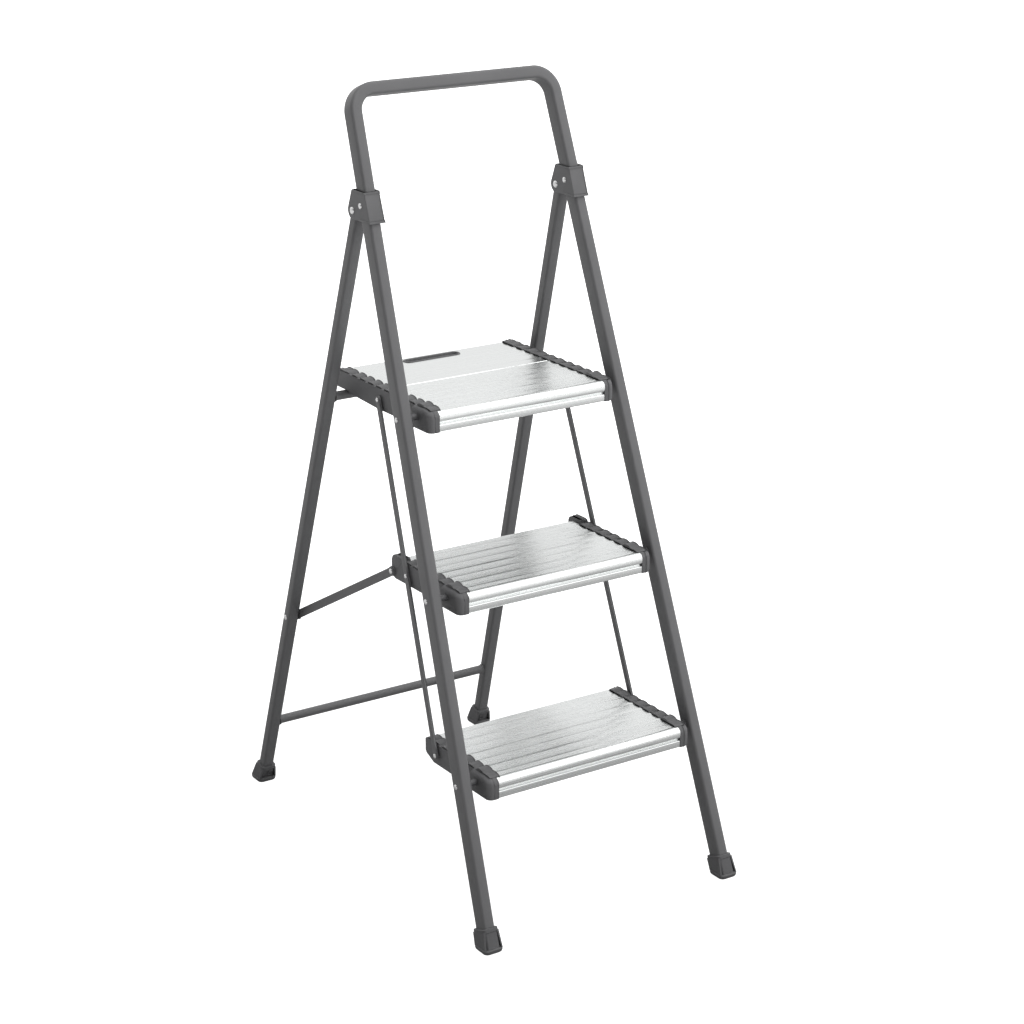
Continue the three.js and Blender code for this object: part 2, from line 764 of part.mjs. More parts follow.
// ---- assembly ----
const stool = new THREE.Group();
stool.position.y = -FOOTPRINT_MIDDLE;

function build(name, body, material, parent = stool) {
  parent.add(node(name, body, material));
}

function atPivot(level) {
  const group = new THREE.Group();
  const [y, z] = treadPivot(level);
  group.position.set(0, y, z);
  stool.add(group);
  return group;
}

build('front_frame', frontFrame(), painted);
build('rear_upper_crossbar', crossbar(UPPER_BAR_HEIGHT), painted);
build('rear_lower_crossbar', crossbar(LOWER_BAR_HEIGHT), painted);

const platform = atPivot('platform');
build('platform_front_panel', platformFront(), aluminium, platform);
build('platform_rear_panel', platformRear(), aluminium, platform);
build('platform_grip_liner', gripLiner(), plastic, platform);
const treadGroups = { platform, middle: atPivot('middle'), lower: atPivot('lower') };
build('middle_tread', tread('middle'), aluminium, treadGroups.middle);
build('lower_tread', tread('lower'), aluminium, treadGroups.lower);

for (const [hand, side] of Object.entries(sides)) {
  build(`hinge_bracket_${hand}`, bracket(side), bracketPlastic);
  build(`hinge_rivet_${hand}`, hingeRivet(side), zinc);
  build(`bracket_fixing_rivet_${hand}`, fixingRivet(side), zinc);
  build(`front_foot_${hand}`, frontFoot(side), rubber);
  build(`rear_leg_${hand}`, rearLeg(side), painted);
  build(`rear_foot_${hand}`, rearFoot(side), rubber);
  build(`link_bar_${hand}`, linkBar(side), painted);
  build(`brace_${hand}`, brace(side), painted);
  build(`brace_front_rivet_${hand}`, braceFrontRivet(side), zinc);
  build(`brace_leg_rivet_${hand}`, braceLegRivet(side), zinc);
  for (const level of Object.keys(LEVELS)) {
    build(`${level}_end_cap_${hand}`, endCap(level, side), plastic, treadGroups[level]);
    build(`${level}_pivot_rivet_${hand}`, pivotRivet(side, level), zinc);
    build(`${level}_pivot_bush_${hand}`, pivotBush(side, level), plastic);
    build(`${level}_link_rivet_${hand}`, linkRivet(side, level), zinc);
  }
}

export default stool;
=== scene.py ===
"""Folding step stool with three ribbed aluminium treads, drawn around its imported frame."""

import math

import bmesh
import bpy
from bpy.props import FloatProperty, FloatVectorProperty, IntProperty, PointerProperty
from mathutils import Matrix, Vector


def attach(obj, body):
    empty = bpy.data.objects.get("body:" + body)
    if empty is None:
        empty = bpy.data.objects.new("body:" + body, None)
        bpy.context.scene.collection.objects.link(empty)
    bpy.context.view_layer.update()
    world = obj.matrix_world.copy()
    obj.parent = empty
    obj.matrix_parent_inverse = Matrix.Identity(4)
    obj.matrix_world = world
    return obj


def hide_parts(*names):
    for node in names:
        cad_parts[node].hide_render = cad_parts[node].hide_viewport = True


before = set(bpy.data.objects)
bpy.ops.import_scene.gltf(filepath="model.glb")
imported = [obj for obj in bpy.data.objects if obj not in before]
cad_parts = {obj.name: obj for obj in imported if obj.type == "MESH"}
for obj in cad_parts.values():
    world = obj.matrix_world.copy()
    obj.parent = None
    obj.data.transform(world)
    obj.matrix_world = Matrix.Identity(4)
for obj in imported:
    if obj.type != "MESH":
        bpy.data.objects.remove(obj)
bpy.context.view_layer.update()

bl_info = {
    "name": "Folding step stool",
    "version": (1, 0, 0),
    "blender": (4, 5, 0),
    "location": "View3D > Sidebar > Stool",
    "description": "Builds the painted frame, ribbed treads, moulded caps and studio",
    "category": "Add Mesh",
}

# Sizes are in millimetres, Y from the front rails' feet. Piece.make turns them into metres
# in the row frame, which has the middle of the footprint at its origin.
FLOOR_MIDDLE = 326.2

FRONT_LEAN = math.radians(19.95)
FRONT_HALF = 200.4
FRONT_SPLAY = 0.0355
RAIL_WIDTH, RAIL_DEPTH, RAIL_CORNER = 18, 24, 4
HANDLE_LENGTH, HANDLE_RADIUS = 1173.2, 32
TUBE_START = 9

REAR_LEAN = math.radians(16.56)
REAR_FOOT = 652.4
REAR_HALF = 199.4
REAR_SPLAY = 0.0347
LEG_WIDTH, LEG_DEPTH, LEG_CORNER = 18, 16, 3.4
HINGE_HEIGHT = 946.9
BAR_HEIGHTS = {"upper": 663.2, "lower": 107.3}
BAR_RADIUS = 6.6
BAR_GAP = 0.4
# How far in from the bar's end, and how much wider than the bar, its weld is.
BAR_WELD = ((0, 1.2), (0.4, 1.6), (2.2, 0.7), (4, 0))

LEVELS = {"lower": 210.5, "middle": 448.8, "platform": 682.1}
BODIES = {"lower": "lower_step", "middle": "middle_step", "platform": "platform"}
PIVOT_OFFSET = 2
TREAD_TOP = 12.2
TREAD_WALL = 2.4
WEB_FOOT = -8
NOSE = -30.6
NOSE_DROP = -17.0
TREAD_BACK = 139.0
PLATFORM_SEAM = 104.0
PLATFORM_BACK = 228.4
TREAD_CLEAR = 31.0
CAP_BODY = 12.0
CAP_BLOCK = 17.4
LINK_ARM = (105.5, -2.0)
LINK_PLAY = 2.4
STRAP = 3.0
BRACE_REACH, BRACE_DROP = 150.25, math.radians(3.34)
BRACE_ARM = (BRACE_REACH * math.cos(BRACE_DROP), -BRACE_REACH * math.sin(BRACE_DROP))
BRACE_LEG_HEIGHT = 297.5
BRACE_PLAY = 1.2
SLOT_BACK, SLOT_HALF, SLOT_RADIUS = 211.0, 46.0, 7.8
SIDES = {"left": -1, "right": 1}


def front_half(z):
    return FRONT_HALF - FRONT_SPLAY * z


def rear_half(z):
    return REAR_HALF - REAR_SPLAY * z


def tread_pivot(level):
    z = LEVELS[level]
    return z * math.tan(FRONT_LEAN) + PIVOT_OFFSET / math.cos(FRONT_LEAN), z


def tread_half(level):
    return front_half(LEVELS[level]) - RAIL_WIDTH / 2 - TREAD_CLEAR


def on_rear_leg(z):
    return REAR_FOOT - z * math.tan(REAR_LEAN), z


def beside_rail(behind, z):
    """A point at a height, that far behind the middle line of the front rail."""
    return (behind + z * math.sin(FRONT_LEAN)) / math.cos(FRONT_LEAN), z


# ---- outlines ----


def arc(cx, cy, r, start, end, steps):
    """Points on an arc, angles in degrees."""
    return [
        (
            cx + r * math.cos(math.radians(start + (end - start) * i / steps)),
            cy + r * math.sin(math.radians(start + (end - start) * i / steps)),
        )
        for i in range(steps + 1)
    ]


def rounded(corners, steps=5):
    """A closed outline from (a, b, radius) corners, each rounded by its radius."""
    out = []
    n = len(corners)
    for i, (a, b, r) in enumerate(corners):
        p = Vector((a, b))
        if r <= 0:
            out.append((a, b))
            continue
        before = (Vector(corners[i - 1][:2]) - p).normalized()
        after = (Vector(corners[(i + 1) % n][:2]) - p).normalized()
        half = before.angle(after) / 2
        reach = r / math.tan(half)
        centre = p + (before + after).normalized() * r / math.sin(half)
        first = p + before * reach - centre
        last = p + after * reach - centre
        turn = first.angle_signed(last)
        for k in range(steps + 1):
            spoke = first.copy()
            spoke.rotate(Matrix.Rotation(-turn * k / steps, 2))
            out.append(tuple(centre + spoke))
    return out


def tube_outline(width, depth, corner, steps=6):
    w, d = width / 2, depth / 2
    return rounded(
        [(w, -d, corner), (w, d, corner), (-w, d, corner), (-w, -d, corner)], steps
    )


# ---- solids ----


class Piece:
    """Closed shells gathered in one mesh, then finished as one object in the row frame."""

    def __init__(self):
        self.bm = bmesh.new()

    def loft(self, rings, closed=False):
        """A skin over rings of points, with both ends closed unless it runs round."""
        made = [[self.bm.verts.new(p) for p in ring] for ring in rings]
        n = len(made[0])
        pairs = zip(made, made[1:] + made[:1]) if closed else zip(made, made[1:])
        for a, b in pairs:
            for i in range(n):
                j = (i + 1) % n
                self.bm.faces.new((a[i], a[j], b[j], b[i]))
        if not closed:
            self.bm.faces.new(made[0])
            self.bm.faces.new(reversed(made[-1]))
        return made

    def prism(self, outline, low, high, axis="x", edge=0.0, steps=3, low_edge=None):
        """An outline pushed along an axis, with its two rims rounded."""
        turn = {
            "x": lambda a, b, c: (c, a, b),
            "z": lambda a, b, c: (a, b, c),
        }[axis]
        ends = self.loft([[turn(a, b, c) for a, b in outline] for c in (low, high)])
        first_edge = edge if low_edge is None else low_edge
        for ring, size in ((ends[0], first_edge), (ends[1], edge)):
            if size > 0:
                around = set(ring)
                rim = [e for v in ring for e in v.link_edges if e.other_vert(v) in around]
                bmesh.ops.bevel(
                    self.bm,
                    geom=list(dict.fromkeys(rim)),
                    offset=size,
                    segments=steps,
                    profile=0.5,
                    affect="EDGES",
                    clamp_overlap=False,
                )

    def lathe_x(self, profile, y, z, steps=40):
        """A profile of (x, radius) turned about a line along X."""
        turns = [2 * math.pi * k / steps for k in range(steps)]
        self.loft([[(x, y + r * math.cos(a), z + r * math.sin(a)) for a in turns] for x, r in profile])

    def move(self, y, z):
        bmesh.ops.translate(self.bm, verts=self.bm.verts, vec=(0, y, z))

    def lean_plane(self, lean, foot):
        """Stands a drawing made in X and length up onto a leaning plane."""
        turn = Matrix.Rotation(math.pi / 2 - lean, 4, "X")
        stand = Matrix.Translation((0, foot, 0)) @ turn
        bmesh.ops.transform(self.bm, matrix=stand, verts=self.bm.verts)

    def make(self, name, material, smooth=38):
        """One object in the row frame, with edges sharper than an angle kept sharp."""
        bmesh.ops.recalc_face_normals(self.bm, faces=self.bm.faces)
        for v in self.bm.verts:
            v.co = Vector((v.co.x, v.co.y - FLOOR_MIDDLE, v.co.z)) / 1000
        mesh = bpy.data.meshes.new(name)
        self.bm.to_mesh(mesh)
        self.bm.free()
        mesh.shade_smooth()
        mesh.set_sharp_from_angle(angle=math.radians(smooth))
        obj = bpy.data.objects.new(name, mesh)
        bpy.context.scene.collection.objects.link(obj)
        mesh.materials.append(material)
        return obj

    def finish(self, name, material, body, replaces, slot, smooth=38):
        return adopt(self.make(name, material, smooth), body, replaces)


def adopt(obj, body, replaces):
    """Ties an object to its body and to the nodes that it stands for."""
    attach(obj, body)
    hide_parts(*replaces)
    return obj


# ---- finishes ----


def new_material(name, color, roughness, metallic=0.0):
    material = bpy.data.materials.new(name)
    material.use_nodes = True
    shader = material.node_tree.nodes["Principled BSDF"]
    shader.inputs["Base Color"].default_value = (*color, 1)
    shader.inputs["Roughness"].default_value = roughness
    shader.inputs["Metallic"].default_value = metallic
    material.diffuse_color = (*color, 1)
    return material, shader


def node(material, kind, **values):
    made = material.node_tree.nodes.new(kind)
    for key, value in values.items():
        if key in made.inputs:
            made.inputs[key].default_value = value
        else:
            setattr(made, key, value)
    return made


def noise(material, scale, detail=3.0, stretch=None):
    coords = node(material, "ShaderNodeTexCoord")
    made = node(material, "ShaderNodeTexNoise", Scale=scale, Detail=detail)
    links = material.node_tree.links
    if stretch:
        mapping = node(material, "ShaderNodeMapping", Scale=stretch)
        links.new(coords.outputs["Object"], mapping.inputs["Vector"])
        links.new(mapping.outputs["Vector"], made.inputs["Vector"])
    else:
        links.new(coords.outputs["Object"], made.inputs["Vector"])
    return made


def vary_color(material, shader, texture, color, spread):
    """The colour drifts a little either side of its own tone."""
    ramp = node(material, "ShaderNodeValToRGB")
    ramp.color_ramp.elements[0].position = 0.3
    ramp.color_ramp.elements[1].position = 0.7
    ramp.color_ramp.elements[0].color = (*(c * (1 - spread) for c in color), 1)
    ramp.color_ramp.elements[1].color = (*(c * (1 + spread) for c in color), 1)
    links = material.node_tree.links
    links.new(texture.outputs["Fac"], ramp.inputs["Fac"])
    links.new(ramp.outputs["Color"], shader.inputs["Base Color"])


def vary_roughness(material, shader, texture, low, high):
    spread = node(material, "ShaderNodeMapRange")
    spread.inputs["To Min"].default_value = low
    spread.inputs["To Max"].default_value = high
    links = material.node_tree.links
    links.new(texture.outputs["Fac"], spread.inputs["Value"])
    links.new(spread.outputs["Result"], shader.inputs["Roughness"])


def bump(material, shader, texture, height, strength=1.0):
    made = node(material, "ShaderNodeBump", Strength=strength, Distance=height)
    links = material.node_tree.links
    links.new(texture.outputs["Fac"], made.inputs["Height"])
    links.new(made.outputs["Normal"], shader.inputs["Normal"])


def painted_steel(look):
    color = tuple(look.frame_color)
    material, shader = new_material("grey_frame_paint", color, 0.42)
    vary_color(material, shader, noise(material, 14, 2), color, 0.05)
    vary_roughness(material, shader, noise(material, 60, 4), 0.36, 0.48)
    bump(material, shader, noise(material, 900, 2), 0.0001, 0.35)
    return material


def ribbed_aluminium(look):
    color = tuple(look.aluminium_color)
    material, shader = new_material("mill_aluminium", color, 0.36, 1.0)
    along = noise(material, 60, 4, (0.03, 9, 9))
    vary_color(material, shader, noise(material, 9, 3, (0.2, 1, 1)), color, 0.02)
    vary_roughness(material, shader, along, 0.2, 0.34)
    bump(material, shader, noise(material, 160, 2, (0.02, 5, 5)), 0.00004, 0.06)
    return material


def moulded_plastic(name, color, rough=0.55, grain=0.35):
    material, shader = new_material(name, color, rough)
    vary_color(material, shader, noise(material, 25, 2), color, 0.05)
    vary_roughness(material, shader, noise(material, 90, 3), rough - 0.06, rough + 0.06)
    bump(material, shader, noise(material, 1500, 2), 0.00012, grain)
    return material


def bright_rivet():
    color = (0.86, 0.86, 0.86)
    material, shader = new_material("plated_rivet", color, 0.22, 1.0)
    vary_roughness(material, shader, noise(material, 300, 3), 0.16, 0.3)
    bump(material, shader, noise(material, 700, 2), 0.00005, 0.3)
    return material


def shared(name, make):
    """The material of that name, made once."""
    return bpy.data.materials.get(name) or make()


def paint(context):
    return shared("grey_frame_paint", lambda: painted_steel(context.scene.stool_look))


def aluminium(context):
    return shared("mill_aluminium", lambda: ribbed_aluminium(context.scene.stool_look))


def cap_plastic(context):
    color = tuple(context.scene.stool_look.cap_color)
    return shared("moulded_cap", lambda: moulded_plastic("moulded_cap", color))


def bracket_plastic(context):
    color = tuple(context.scene.stool_look.bracket_color)
    return shared("moulded_bracket", lambda: moulded_plastic("moulded_bracket", color, 0.48, 0.25))


def foot_rubber(context):
    color = tuple(context.scene.stool_look.foot_color)
    return shared("moulded_foot", lambda: moulded_plastic("moulded_foot", color, 0.62, 0.5))


def rivet_metal(context):
    return shared("plated_rivet", bright_rivet)


# ---- settings ----


class StoolLook(bpy.types.PropertyGroup):
    frame_color: FloatVectorProperty(
        name="Frame",
        description="Paint of the tubes",
        subtype="COLOR",
        default=(0.138, 0.138, 0.142),
    )
    aluminium_color: FloatVectorProperty(
        name="Treads",
        description="Bare aluminium",
        subtype="COLOR",
        default=(0.815, 0.83, 0.825),
    )
    cap_color: FloatVectorProperty(
        name="Caps",
        description="Plastic of the end caps",
        subtype="COLOR",
        default=(0.122, 0.122, 0.126),
    )
    bracket_color: FloatVectorProperty(
        name="Brackets",
        description="Plastic of the hinge brackets",
        subtype="COLOR",
        default=(0.14, 0.14, 0.144),
    )
    foot_color: FloatVectorProperty(
        name="Feet",
        description="Rubber of the feet",
        subtype="COLOR",
        default=(0.112, 0.112, 0.116),
    )


class StoolSizes(bpy.types.PropertyGroup):
    groove_pitch: FloatProperty(
        name="Groove pitch", description="Distance between grooves, mm", default=22.5
    )
    first_groove: FloatProperty(
        name="First groove", description="First groove behind the tread pivot, mm", default=-11.0
    )
    rib_pitch: FloatProperty(
        name="Rib pitch", description="Distance between fine ribs, mm", default=2.25
    )
    rib_height: FloatProperty(
        name="Rib height", description="Height of the fine ribs, mm", default=0.18
    )
    scallop_pitch: FloatProperty(
        name="Scallop pitch", description="Distance between scallops on a cap, mm", default=22.5
    )
    scallop_height: FloatProperty(
        name="Scallop height", description="Height of a scallop above the cap, mm", default=2.0
    )
    bend_steps: IntProperty(
        name="Bend steps", description="Facets round each bend of the handle", default=24
    )


class StoolStudio(bpy.types.PropertyGroup):
    lens: FloatProperty(name="Lens", description="Focal length, mm", default=85.87)
    room_dark: FloatProperty(
        name="Room, dark end", description="Light from the front left", default=0.22
    )
    room_bright: FloatProperty(
        name="Room, bright end", description="Light from the back right", default=0.95
    )
    key_power: FloatProperty(name="Key", description="Power of the main light, W", default=96.0)
    top_power: FloatProperty(name="Top", description="Power of the light above, W", default=44.0)


# ---- frame ----


def front_stations(steps):
    """Points and directions along the bent tube, in X and length up the slope."""
    slope = FRONT_SPLAY * math.cos(FRONT_LEAN)
    tilt = math.atan(slope)
    turn = math.pi / 2 - tilt
    half = FRONT_HALF - slope * HANDLE_LENGTH
    tangent = HANDLE_RADIUS * math.tan(turn / 2)
    along = Vector((math.sin(tilt), math.cos(tilt)))
    inward = Vector((along.y, -along.x))
    centre = Vector((-half, HANDLE_LENGTH)) - along * tangent + inward * HANDLE_RADIUS
    left = [(Vector((-FRONT_HALF + slope * TUBE_START, TUBE_START)), along)]
    for i in range(steps + 1):
        a = math.pi - tilt - turn * i / steps
        radial = Vector((math.cos(a), math.sin(a)))
        left.append((centre + radial * HANDLE_RADIUS, Vector((radial.y, -radial.x))))
    right = [(Vector((-p.x, p.y)), Vector((d.x, -d.y))) for p, d in reversed(left)]
    return left + right


def tube_rings(stations, outline):
    """The outline laid across each station of a tube."""
    rings = []
    for p, d in stations:
        side = Vector((d.y, -d.x))
        rings.append([(p.x + side.x * a, p.y + side.y * a, b) for a, b in outline])
    return rings


class STOOL_OT_front_frame(bpy.types.Operator):
    """Bent steel tube that makes both front rails and the handle"""

    bl_idname = "stool.front_frame"
    bl_label = "Front frame"

    def execute(self, context):
        piece = Piece()
        outline = tube_outline(RAIL_WIDTH, RAIL_DEPTH, RAIL_CORNER)
        stations = front_stations(context.scene.stool_sizes.bend_steps)
        piece.loft(tube_rings(stations, outline))
        piece.lean_plane(FRONT_LEAN, 0)
        piece.finish("bent_front_tube", paint(context), "front", ["front_frame"], "frame_paint")
        return {"FINISHED"}


class STOOL_OT_rear_frame(bpy.types.Operator):
    """Two rear legs and the round bars between them"""

    bl_idname = "stool.rear_frame"
    bl_label = "Rear frame"

    def execute(self, context):
        slope = REAR_SPLAY * math.cos(REAR_LEAN)
        top = HINGE_HEIGHT / math.cos(REAR_LEAN) + LEG_DEPTH / 2
        outline = tube_outline(LEG_WIDTH, LEG_DEPTH, LEG_CORNER)
        for hand, side in SIDES.items():
            piece = Piece()
            direction = Vector((-side * slope, 1)).normalized()
            ends = [
                (Vector((side * (REAR_HALF - slope * s), s)), direction)
                for s in (TUBE_START, top)
            ]
            piece.loft(tube_rings(ends, outline))
            piece.lean_plane(-REAR_LEAN, REAR_FOOT)
            piece.finish(
                f"rear_leg_tube_{hand}", paint(context), "rear", [f"rear_leg_{hand}"], "frame_paint"
            )
        for name, z in BAR_HEIGHTS.items():
            piece = Piece()
            y, z = on_rear_leg(z)
            end = rear_half(z) - LEG_WIDTH / 2 - BAR_GAP
            profile = [(end - inward, BAR_RADIUS + weld) for inward, weld in BAR_WELD]
            profile += [(-x, r) for x, r in reversed(profile)]
            piece.lathe_x(profile, y, z, 48)
            piece.finish(
                f"{name}_cross_tube", paint(context), "rear", [f"rear_{name}_crossbar"], "frame_paint"
            )
        return {"FINISHED"}


# ---- feet ----

# Width, depth and corner of the boot's sections, the sole's from the floor up.
SOLE = (29.4, 31, 7)
SOLE_RIM = (30.8, 31.8, 7.5)
SOLE_LEDGE = (28.6, 29.8, 6.5)
COLLAR_FOOT, COLLAR_TOP = 24, 30
CORE_FOOT, CORE_TOP = 5, 27
FIN_TOP = 26
FIN_OUTER, FIN_INNER = 14.4, 12.2
WINDOW_MIDDLE, WINDOW_ASIDE = 17, 3.2
WINDOW_WIDE, WINDOW_TALL = 2.8, 2.6


class STOOL_OT_feet(bpy.types.Operator):
    """Four moulded feet"""

    bl_idname = "stool.feet"
    bl_label = "Feet"

    def foot(self, side, half, slope, lean, foot_y, depth):
        """A boot: flat sole, core, collar round the tube, a fin on each side."""
        piece = Piece()
        forward = 1 if foot_y == 0 else -1

        def at(s, x, n):
            """A point along the tube, from its own middle line."""
            a = forward * math.sin(lean)
            return (
                side * (half - slope * s) + x,
                foot_y + s * a + n * math.cos(lean),
                s * math.cos(lean) - n * a,
            )

        def flat(x, y, z):
            """A point above the floor, from the middle of the sole."""
            return (side * half + x, foot_y + y, z)

        top = tube_outline(RAIL_WIDTH + 5.0, depth + 5.0, 4.5)
        neck = tube_outline(RAIL_WIDTH + 6.4, depth + 6.2, 5)
        core = tube_outline(RAIL_WIDTH + 2.6, depth + 4.4, 3.4)
        sole, rim, ledge = (tube_outline(*size) for size in (SOLE, SOLE_RIM, SOLE_LEDGE))
        rings = [[flat(x * 0.93, y * 0.93, 0) for x, y in sole]]
        for z, shape in ((1.2, sole), (2.0, sole), (2.7, rim), (5.4, rim), (6.2, ledge)):
            rings.append([flat(x, y, z) for x, y in shape])
        piece.loft(rings)
        core_foot = [flat(x, y * 0.96, CORE_FOOT) for x, y in core]
        piece.loft([core_foot, [at(CORE_TOP, x, y) for x, y in core]])
        collar = (
            (COLLAR_FOOT, core),
            (COLLAR_FOOT + 1, neck),
            (COLLAR_TOP - 0.7, neck),
            (COLLAR_TOP, top),
        )
        piece.loft([[at(s, x, y) for x, y in shape] for s, shape in collar])
        d = depth / 2 + 2.8
        fin_top = RAIL_WIDTH / 2 + 3
        foot_wall = [(FIN_INNER, -14), (FIN_OUTER, -13), (FIN_OUTER, 13), (FIN_INNER, 14)]
        head_wall = [(9, -d), (fin_top, -d + 0.6), (fin_top, d - 0.6), (9, d)]
        for hand in SIDES.values():
            low = [flat(hand * x, y, CORE_FOOT) for x, y in foot_wall]
            piece.loft([low, [at(FIN_TOP, hand * x, y) for x, y in head_wall]])
        if foot_y > 0:
            self.window(piece, side, at, -depth / 2 - 2.2)
        return piece

    def window(self, piece, side, at, front):
        """Raised frame of the small window in a rear boot."""
        w, h = WINDOW_WIDE, WINDOW_TALL
        hole = [(-h, -w), (h, -w), (h, w), (-h, w)]
        rings = []
        for grow, lift in ((1.2, 0), (1.0, -0.8), (0.2, -0.8), (0, 0)):
            k = 1 + grow / h
            rings.append(
                [at(WINDOW_MIDDLE + b * k, WINDOW_ASIDE * -side + a * k, front + lift) for a, b in hole]
            )
        piece.loft(rings, closed=True)

    def execute(self, context):
        for hand, side in SIDES.items():
            for end, half, splay, lean, y, depth in (
                ("front", FRONT_HALF, FRONT_SPLAY, FRONT_LEAN, 0, RAIL_DEPTH),
                ("rear", REAR_HALF, REAR_SPLAY, REAR_LEAN, REAR_FOOT, LEG_DEPTH),
            ):
                piece = self.foot(side, half, splay * math.cos(lean), lean, y, depth)
                replaces = [f"{end}_foot_{hand}"]
                piece.finish(f"{end}_boot_{hand}", foot_rubber(context), end, replaces, "foot_rubber")
        return {"FINISHED"}


# ---- brackets ----

BRACKET_WALL = 2.6
BRACKET_SKIN = 3
BRACKET_BOTTOM, BRACKET_TOP = 935.5, 976.3
BRACKET_MIDDLE = (BRACKET_BOTTOM + BRACKET_TOP) / 2
BRACKET_EAR = 12
BRACKET_SKIRT = 17
# Bottom, top and back of each rim, the back measured forward from the hinge rivet.
BRACKET_RIMS = (
    (BRACKET_TOP - 2.6, BRACKET_TOP, 1),
    (BRACKET_BOTTOM + 0.4, BRACKET_BOTTOM + 3.2, 19),
)
RIM_PROUD, RIM_FRONT = 0.6, 0.7


class STOOL_OT_brackets(bpy.types.Operator):
    """Moulded hinge brackets"""

    bl_idname = "stool.brackets"
    bl_label = "Hinge brackets"

    def execute(self, context):
        hy, hz = on_rear_leg(HINGE_HEIGHT)
        face = -RAIL_DEPTH / 2 - BRACKET_SKIN
        ear = arc(hy, hz, BRACKET_EAR, -76, 18, 10)
        corners = [(*beside_rail(face, BRACKET_BOTTOM), 3.5), (hy - BRACKET_SKIRT, BRACKET_BOTTOM, 3)]
        corners += [(y, z, 0) for y, z in ear]
        corners += [(hy + 1, BRACKET_TOP, 2.5), (*beside_rail(face, BRACKET_TOP), 2)]
        outline = rounded(corners, 5)
        middle = front_half(BRACKET_MIDDLE)
        reach = RAIL_WIDTH / 2 + BRACKET_WALL
        for hand, side in SIDES.items():
            piece = Piece()
            piece.prism(outline, side * middle - reach, side * middle + reach, edge=1.2, steps=4)
            wide = reach + RIM_PROUD
            for low, high, forward in BRACKET_RIMS:
                rim = [
                    beside_rail(face - RIM_FRONT, low),
                    (hy - forward, low),
                    (hy - forward, high),
                    beside_rail(face - RIM_FRONT, high),
                ]
                piece.prism(rim, side * middle - wide, side * middle + wide, edge=0.6, steps=2)
            replaces = [f"hinge_bracket_{hand}"]
            piece.finish(
                f"bracket_shell_{hand}", bracket_plastic(context), "front", replaces, "bracket_plastic"
            )
        return {"FINISHED"}


# ---- treads ----

# Width and depth of the two kinds of groove.
WIDE_GROOVE, NARROW_GROOVE = (4.8, 0.85), (3.2, 0.5)
GROOVE_MARGIN = 4
NOSE_CENTRE, NOSE_RADIUS = (-21.5, 0.2), 12.0
NOSE_TOP = -22
WEB_PLACES = {"tread": (12, 54, 96), "front": (12, 56), "rear": (148, 190)}
RIB_SHORT = 0.4
RIB_SPREAD = 3.4


def groove(y, width, depth):
    """A groove across the top, from its back edge to its front edge."""
    w = width / 2
    return [
        (y + w, TREAD_TOP),
        (y + w * 0.75, TREAD_TOP - depth * 0.2),
        (y - w * 0.35, TREAD_TOP - depth),
        (y - w * 0.7, TREAD_TOP - depth),
        (y - w, TREAD_TOP),
    ]


def grooves(sizes, front, back):
    """The grooves between two distances, from back to front, wide and narrow by turns."""
    out = []
    count = int((PLATFORM_BACK - sizes.first_groove) / sizes.groove_pitch) + 1
    for i in reversed(range(count)):
        y = sizes.first_groove + i * sizes.groove_pitch
        if front + GROOVE_MARGIN < y < back - GROOVE_MARGIN:
            out += groove(y, *(WIDE_GROOVE if i % 2 else NARROW_GROOVE))
    return out


def nose_outline():
    """Round nose, ledge and lip, from the top face down to the underside."""
    return [
        *arc(*NOSE_CENTRE, NOSE_RADIUS, 90, 150, 10),
        (NOSE - 1.5, 3.6),
        (NOSE - 1.5, 1.2),
        (NOSE - 0.9, -1.6),
        (NOSE + 0.8, -4.4),
        (NOSE + 2.4, -6.0),
        (NOSE + 2.2, -6.7),
        (NOSE - 0.2, -7.2),
        (NOSE - 0.7, -7.8),
        (NOSE - 0.7, -15.6),
        (NOSE + 0.1, NOSE_DROP),
        (NOSE + 3.2, NOSE_DROP),
        (NOSE + 3.2, -15.0),
        (NOSE + 3.6, 4.0),
        (NOSE + 8.0, TREAD_TOP - TREAD_WALL),
    ]


def webs(places):
    """Thin webs that hang from the underside."""
    under = TREAD_TOP - TREAD_WALL
    return [p for y in places for p in ((y, under), (y, WEB_FOOT), (y + 2, WEB_FOOT), (y + 2, under))]


def clear_of_grooves(tree, start, points):
    """Removes the points that lie over a groove."""
    nodes, links = tree.nodes, tree.links

    def math_node(operation, a, b):
        made = nodes.new("ShaderNodeMath")
        made.operation = operation
        for socket, value in zip(made.inputs, (a, b)):
            if isinstance(value, (int, float)):
                socket.default_value = value
            else:
                links.new(value, socket)
        return made.outputs[0]

    split = nodes.new("ShaderNodeSeparateXYZ")
    links.new(nodes.new("GeometryNodeInputPosition").outputs[0], split.inputs[0])
    pitch = start.outputs["Groove Pitch"]
    along = math_node("SUBTRACT", split.outputs["Y"], start.outputs["Groove"])
    along = math_node("ADD", along, math_node("MULTIPLY", pitch, 0.5))
    along = math_node("FLOORED_MODULO", along, pitch)
    along = math_node("SUBTRACT", along, math_node("MULTIPLY", pitch, 0.5))
    over = math_node("LESS_THAN", math_node("ABSOLUTE", along, 0), start.outputs["Clear"])
    removed = nodes.new("GeometryNodeDeleteGeometry")
    links.new(points, removed.inputs["Geometry"])
    links.new(over, removed.inputs["Selection"])
    return removed.outputs["Geometry"]


